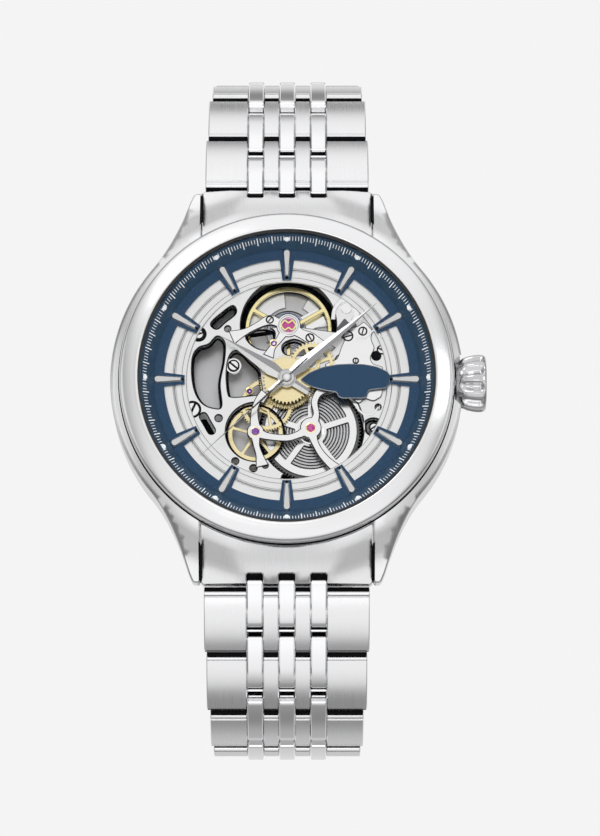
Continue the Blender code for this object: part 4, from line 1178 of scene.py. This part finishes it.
PITCH = 8.0                                   # hinge to hinge
HINGE_RADIUS = 1.28                           # half thickness of a row
ROW_BACK = PITCH - HINGE_RADIUS - 0.14        # square back end of a brushed row
CENTRE_HALF = 3.45                            # half length of a polished centre piece
LAST_CENTRE = (5.7, 0)                        # middle of the last row's polished pieces
COLUMN, COLUMN_HALF = 1.904, 0.925            # column spacing and half width of a polished piece
COLUMNS = (-2 * COLUMN, 0, 2 * COLUMN)        # where the three polished columns run
END_LEAN = 32                                 # how far the end link leans away from the dial's plane
LEANS = (32, 40, 70, 98, 120, 140, 160)       # the same for links 1..7
BENDS = (0, 8, 30, 28, 22, 20, 20, 0)         # each link's turn from the one before it
FRONT, OPEN_FRONT = -1.24, -0.80              # front face of a row from its hinge, and that of row 2
NOSE_STARTS = {1: (162, 150), 2: (141, 141), 3: (168, 156)}   # degrees where a black nose, painted gap shade, starts
TIP_HALF = 3.03                               # half length of the end link's polished pieces


def row_matrix(hinge, lean, side):
    """Frame of a link: x away from the case along the loop, y outward, z across."""
    a = math.radians(lean)
    along = Vector((0, math.sin(a), side * math.cos(a)))
    outward = Vector((0, -math.cos(a), side * math.sin(a)))
    across = along.cross(outward)
    made = Matrix((along, outward, across)).transposed().to_4x4()
    made.translation = hinge
    return made


def crowned_top(start, end, height, drop, count=12):
    """Points of a slightly arched upper surface, from end back to start."""
    middle, half = (start + end) / 2, (end - start) / 2
    return [(end + (start - end) * k / count,
             height - drop * ((end + (start - end) * k / count - middle) / half) ** 2)
            for k in range(count + 1)]


def brushed_profile(front):
    """Side view of a brushed row: a rolled front edge behind a fine groove, and a square back end."""
    back, nip, drop = ROW_BACK, 0.12, 0.50
    under = 180 + math.degrees(math.acos(-front / HINGE_RADIUS))
    top, start = HINGE_RADIUS - drop, -0.34
    roll = min(0.55, start - 0.08 - front)
    return (arc(CENTRE, HINGE_RADIUS, under, 270, 8)
            + [(back - 0.25, -HINGE_RADIUS), (back, -HINGE_RADIUS + 0.25), (back, top - nip)]
            + crowned_top(start, back - nip, HINGE_RADIUS, drop, 12) + [(start - 0.05, top - 0.14)]
            + arc((front + roll, top - roll - 0.02), roll, 96, 180, 8))


def nose_profile(number, side):
    """The black round of a row's front end: painted shade that shows as the line of the gap before it."""
    upper, lower = NOSE_STARTS.get(number, (172, 172))
    return arc(CENTRE, HINGE_RADIUS, upper if side > 0 else lower, 219, 12)


def polished_profile(half):
    """Side view of a polished centre piece."""
    thick, r, drop = 1.18, 0.26, 0.24
    right = arc((half - r, thick - drop - r), r, 0, 72, 6)
    left = arc((-half + r, thick - drop - r), r, 108, 180, 6)
    top = crowned_top(-half + r, half - r, thick, drop, 12)
    bottom = [(-half, -thick + 0.25), (-half + 0.25, -thick), (half - 0.25, -thick),
              (half, -thick + 0.25)]
    return bottom + right + top[1:-1] + left


def brushed_columns(half_width):
    inner = 2 * COLUMN + COLUMN_HALF + 0.06
    small = COLUMN_HALF - 0.005
    return ((-half_width, -inner), (-COLUMN - small, -COLUMN + small), (COLUMN - small, COLUMN + small),
            (inner, half_width))


def build_clasp_panel():
    """A raised panel with three polished bands along the outside of the clasp's cover."""
    low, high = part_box("clasp_cover")
    back, half = -high.y / MM, high.x / MM
    bottom, top = low.z / MM + 3.4, high.z / MM - 1.1
    panel, bands = Shape(), Shape()
    corner = [(half - 1.0, bottom), (half - 1.0, top), (1.0 - half, top), (1.0 - half, bottom)]
    panel.plate([rounded(corner, 0.9, 6)], back - 0.30, back + 0.05, 0.18)
    piece("clasp_panel", "clasp_cover", brushed, panel)
    for column in COLUMNS:
        left, right = column - COLUMN_HALF, column + COLUMN_HALF
        band = [(right, bottom + 0.8), (right, top - 0.8), (left, top - 0.8), (left, bottom + 0.8)]
        bands.plate([rounded(band, 0.3, 3)], back - 0.46, back - 0.25, 0.10)
    piece("clasp_bands", "clasp_cover", polished, bands)


def build_bracelet():
    inner = 2 * COLUMN + COLUMN_HALF
    for name, side in (("upper", 1), ("lower", -1)):
        hinges = [Vector(JOINTS[f"link_{name}_{k}_hinge"]["pos_m"]) / MM for k in range(1, 8)]
        for number, (hinge, lean) in enumerate(zip(hinges, LEANS), 1):
            body = node = f"link_{name}_{number}"
            matrix = row_matrix(Vector((0, hinge.y, hinge.z)), lean, side)
            half_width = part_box(node)[1].x / MM
            last = number == len(LEANS)
            profile = brushed_profile(OPEN_FRONT if number == 2 else FRONT)
            if last:
                profile = (arc(CENTRE, HINGE_RADIUS, 90, 270, 20)
                           + arc(LAST_CENTRE, HINGE_RADIUS, -90, 90, 20))
            rows, gap_shade, bars = Shape(), Shape(), Shape()
            for low, high in brushed_columns(half_width):
                rows.plate([profile], low, high, 0.10)
                if not last:
                    gap_shade.plate([nose_profile(number, side)], low + 0.06, high - 0.06, 0.0)
            piece(f"{node}_brushed", body, brushed, rows, [node], matrix, 24)
            shine = Shape()
            half = 1.2 if last else CENTRE_HALF
            centre = LAST_CENTRE if last else (PITCH, 0)
            turn = 0 if last else BENDS[number] / 2
            loop = turned_by(polished_profile(half), turn, centre)
            for column in COLUMNS:
                shine.plate([loop], column - COLUMN_HALF, column + COLUMN_HALF, 0.12)
            piece(f"{node}_polished", body, polished, shine, (), matrix, 24)
            middle = PITCH / 2
            if not last:
                # Black strips at each row's back end and black blocks under the polished pieces paint the
                # shade in the gaps.
                strip = rectangle(ROW_BACK - 0.1, -1.0, ROW_BACK + 0.12, 0.62)
                for low, high in brushed_columns(half_width):
                    gap_shade.plate([strip], low + 0.08, high - 0.08, 0.0)
                    bars.rod(0.06, low + 0.08, high - 0.08, (ROW_BACK + 0.16, 0.50), 16)
                block = rectangle(middle - 0.38, -0.9, middle + 0.38, 0.25)
                for column in COLUMNS:
                    reach = COLUMN_HALF + 0.02
                    gap_shade.plate([block], column - reach, column + reach, 0.0)
                    bars.rod(0.17, column - reach, column + reach, (middle, 0.50), 16)
                piece(f"{node}_gaps", body, shade_and_pin_black, gap_shade, (), matrix, 24)
            else:
                bars.rod(0.19, -inner - 0.3, inner + 0.3, (middle + 0.02, 0.45), 20)
            piece(f"{node}_bars", body, polished, bars, (), matrix, 24)


def end_link_height(x, y):
    """A hollowed slope from the bezel down to the first row."""
    slope = between(((16.0, 7.95), (19.2, 7.85), (20.0, 7.35), (21.0, 6.55), (22.0, 5.75), (23.0, 5.05),
                     (23.6, 4.6), (24.1, 3.9)), y)
    return min(slope, case_height(math.hypot(x, y)) - 0.04)


def end_link_depth(x, y):
    return 1.42 if y < 22 else 1.42 + (y - 22) * 0.10


def build_end_links():
    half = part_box("end_link_upper")[1].x / MM - 0.04
    notch = COLUMN_HALF + 0.07
    notch_y, side_y = 22.85, 17.35
    outline = [(half, side_y), (half, 23.75), (half - 0.25, 24.0)]
    for column in COLUMNS[::-1]:
        outline += [(column + notch, 24.0), (column + notch, notch_y + 0.15),
                    (column + notch - 0.2, notch_y), (column - notch + 0.2, notch_y),
                    (column - notch, notch_y + 0.15), (column - notch, 24.0)]
    outline += [(-half + 0.25, 24.0), (-half, 23.75), (-half, side_y)]
    corner = math.degrees(math.asin(side_y / math.hypot(half, side_y)))
    outline += arc(CENTRE, 20.06, 180 - corner, corner, 40)[1:-1]
    fine = []
    for a, b in zip(outline, outline[1:] + outline[:1]):
        parts = max(1, int(math.dist(a, b) / 0.6))
        fine += [(a[0] + (b[0] - a[0]) * k / parts, a[1] + (b[1] - a[1]) * k / parts)
                 for k in range(parts)]
    for name, side in (("upper", 1), ("lower", -1)):
        shape = Shape()
        mirror = Matrix.Diagonal((1, side, 1, 1))
        solid_between(shape, fine, [], end_link_height, end_link_depth, 0.10, mirror)
        piece(f"end_link_{name}_body", "case", brushed, shape,
              [f"end_link_{name}"], sharp=24)
        hinge = Vector(JOINTS[f"link_{name}_1_hinge"]["pos_m"]) / MM
        matrix = row_matrix(Vector((0, hinge.y, hinge.z)), END_LEAN, side)
        shine = Shape()
        for column in COLUMNS:
            shine.plate([polished_profile(TIP_HALF)], column - COLUMN_HALF, column + COLUMN_HALF, 0.12,
                        Matrix.Translation((CENTRE_HALF - TIP_HALF, 0, 0)))
        piece(f"end_link_{name}_polished", "case", polished, shine, (), matrix, 24)
        flat_matrix = row_matrix(Vector((0, 0, 0)), 0, side)
        # Black sheets along the sides and in the notches: painted shade in the seams.
        seam_shade = Shape()
        for edge in (-half - 0.12, half + 0.02):
            outline = [(y, end_link_height(0, y) - 0.45) for y in (23.6, 22.6, 21.6, 20.6, 19.6)]
            seam_shade.plate([[(19.6, 2.0), (23.6, 2.2)] + outline], edge, edge + 0.10, 0.0)
        for column in COLUMNS:
            seam_shade.plate([[(notch_y + 0.02, 2.2), (23.7, 2.2), (23.7, 3.3), (notch_y + 0.02, 4.2)]],
                        column - notch + 0.01, column + notch - 0.01, 0.0)
        piece(f"end_link_{name}_seams", "case", shade_and_pin_black, seam_shade, (), flat_matrix, 24)


# ---------------------------------------------------------------- back

def build_back():
    ring = [(11.55, 0.06), (15.5, 0.36), (17.1, 0.8), (17.2, 0.95), (17.2, 1.22), (16.65, 1.22),
            (16.65, 1.9), (16.0, 1.9), (16.0, 1.1), (11.55, 1.1)]
    back = piece("back_ring", "case", bezel_steel, Shape().lathe(ring), ["case_back"],
                 sharp=24)
    for k in range(6):
        at = math.radians(60 * k + 30)
        cut_with(back, Shape().rod(0.75, -0.3, 0.55, (14.2 * math.cos(at), 14.2 * math.sin(at)), 24, 0.0))
    glass_disc = Shape().lathe([(0, 0.005), (11.35, 0.005), (11.5, 0.12), (11.5, 0.98), (0, 0.98)],
                               closed=False)
    piece("back_crystal", "case", glass, glass_disc, ["case_back_crystal"])

    windows = [sector(CENTRE, 4.2, 9.0, start, start + 46, 20) for start in (192, 247, 302)]
    web = Shape()
    flat(web, [sector(CENTRE, 2.0, 11.1, 180, 360, 60)], [rounded(w, 0.5, 4) for w in windows],
         1.76, 2.0, 0.05)
    flat(web, [sector(CENTRE, 9.7, 11.28, 180, 360, 60)], [], 1.36, 2.24, 0.12)
    web.lathe(rectangle(1.57, 1.5, 2.4, 2.2), 64)
    piece("rotor_weight", "rotor", silver, web, ["rotor"], sharp=24)


CARRIED = {
    bright: ("balance_cock", "rotor_bearing", "crown_tube"),
    dark_steel: ("pallet_fork", "ratchet_wheel"),
    gilt: ("escape_wheel", "cannon_pinion"),
    polished: ("spring_bar_upper", "spring_bar_lower"),
    rubber: ("crown_gasket",),
    brushed: ("clasp_cover", "clasp_middle_blade", "clasp_inner_blade", "clasp_button_left",
              "clasp_button_right"),
}


def finish_carried_nodes():
    for material, names in CARRIED.items():
        for name in names:
            mesh = frame["nodes"][name].data
            mesh.materials.clear()
            mesh.materials.append(material)
            mesh.shade_smooth()
            mesh.set_sharp_from_angle(angle=math.radians(28))


# ---------------------------------------------------------------- camera, light and floor

def build_stage():
    scene = bpy.context.scene
    scene.view_settings.view_transform = "Standard"
    tilt = math.radians(11)
    distance = 0.55
    target = Vector((0.00157, -BEZEL_TOP * MM, -0.00526))
    camera_data = bpy.data.cameras.new("camera")
    camera_data.lens = 200.8
    camera_data.sensor_width = 36
    camera = bpy.data.objects.new("camera", camera_data)
    scene.collection.objects.link(camera)
    forward = Vector((0, math.cos(tilt), math.sin(tilt)))
    camera.location = target - forward * distance
    camera.rotation_euler = forward.to_track_quat("-Z", "Y").to_euler()
    scene.camera = camera

    floor_mesh = bpy.data.meshes.new("floor")
    work = bmesh.new()
    bmesh.ops.create_grid(work, x_segments=2, y_segments=2, size=3)
    work.to_mesh(floor_mesh)
    work.free()
    floor = bpy.data.objects.new("floor", floor_mesh)
    floor.location = (0, 0, -0.30)
    scene.collection.objects.link(floor)
    floor_mesh.materials.append(painted("pale_floor", (0.88, 0.88, 0.88), 0.8, 6.0))
    floor.visible_glossy = False

    build_studio(scene)
    for name, place_at, size, power in LAMPS:
        data = bpy.data.lights.new(name, "AREA")
        data.size = size
        data.energy = power
        lamp = bpy.data.objects.new(name, data)
        lamp.location = place_at
        lamp.rotation_euler = (-Vector(place_at)).to_track_quat("-Z", "Y").to_euler()
        scene.collection.objects.link(lamp)


# Studio walls seen in the metal, by angle round the X axis: 0 is straight in front of the dial,
# 90 is overhead and -90 is below.
LOOP_LIGHT = ((-180, 0.80), (-130, 0.66), (-114, 0.48), (-98, 0.28), (-82, 0.36), (-66, 1.02),
              (-46, 1.18), (-26, 1.10), (-4, 1.02), (24, 1.00), (56, 1.12), (76, 1.14), (92, 0.98),
              (104, 0.40), (116, 0.28), (134, 0.80), (152, 0.92), (180, 0.80))
SIDE_LIGHT = ((0.0, 1.0), (0.45, 1.0), (0.62, 0.92), (0.75, 0.62), (0.85, 0.46), (0.94, 0.85), (1.0, 1.0))
LAMPS = (("key", (-0.45, -0.75, 0.75), 0.35, 1.15), ("fill", (0.75, -0.65, 0.15), 0.3, 0.35),
         ("low", (-0.1, -0.75, -0.22), 0.3, 0.25))


def level_ramp(tree, factor, levels):
    """A grey ramp through (place, level) pairs, with place from 0 to 1."""
    ramp = tree.nodes.new("ShaderNodeValToRGB")
    stops = ramp.color_ramp
    stops.interpolation = "EASE"
    while len(stops.elements) < len(levels):
        stops.elements.new(0.5)
    for element, (at, level) in zip(stops.elements, levels):
        element.position = at
        element.color = (level, level, level, 1)
    tree.links.new(factor, ramp.inputs["Fac"])
    return ramp.outputs["Color"]


def build_studio(scene):
    """A soft studio: its walls change in tone round the loop of the bracelet and towards the sides."""
    world = bpy.data.worlds.new("studio")
    world.use_nodes = True
    scene.world = world
    tree = world.node_tree
    back = tree.nodes["Background"]
    where = tree.nodes.new("ShaderNodeTexCoord")
    split = tree.nodes.new("ShaderNodeSeparateXYZ")
    tree.links.new(where.outputs["Generated"], split.inputs[0])
    front = maths(tree, "Math", "MULTIPLY", split.outputs["Y"], -1)
    turn = maths(tree, "Math", "ARCTAN2", split.outputs["Z"], front.outputs["Value"])
    spread = tree.nodes.new("ShaderNodeMapRange")
    spread.inputs["From Min"].default_value = -math.pi
    spread.inputs["From Max"].default_value = math.pi
    tree.links.new(turn.outputs["Value"], spread.inputs["Value"])
    loop = level_ramp(tree, spread.outputs["Result"], [((a + 180) / 360, v) for a, v in LOOP_LIGHT])
    sideways = maths(tree, "Math", "ABSOLUTE", split.outputs["X"])
    sides = level_ramp(tree, sideways.outputs["Value"], SIDE_LIGHT)
    both = maths(tree, "VectorMath", "MULTIPLY", loop, sides)
    tree.links.new(both.outputs["Vector"], back.inputs["Color"])
    back.inputs["Strength"].default_value = 0.95
    plain = tree.nodes.new("ShaderNodeBackground")
    plain.inputs["Color"].default_value = (0.905, 0.905, 0.905, 1)
    rays = tree.nodes.new("ShaderNodeLightPath")
    choose = tree.nodes.new("ShaderNodeMixShader")
    tree.links.new(rays.outputs["Is Camera Ray"], choose.inputs["Fac"])
    tree.links.new(back.outputs["Background"], choose.inputs[1])
    tree.links.new(plain.outputs["Background"], choose.inputs[2])
    tree.links.new(choose.outputs["Shader"], tree.nodes["World Output"].inputs["Surface"])


build_stage()
build_case()
build_dial()
build_hands()
build_main_plate()
build_shock_setting()
build_keyless_side()
build_wheels()
build_back_bridges()
build_crown()
build_bracelet()
build_clasp_panel()
build_end_links()
build_back()
finish_carried_nodes()
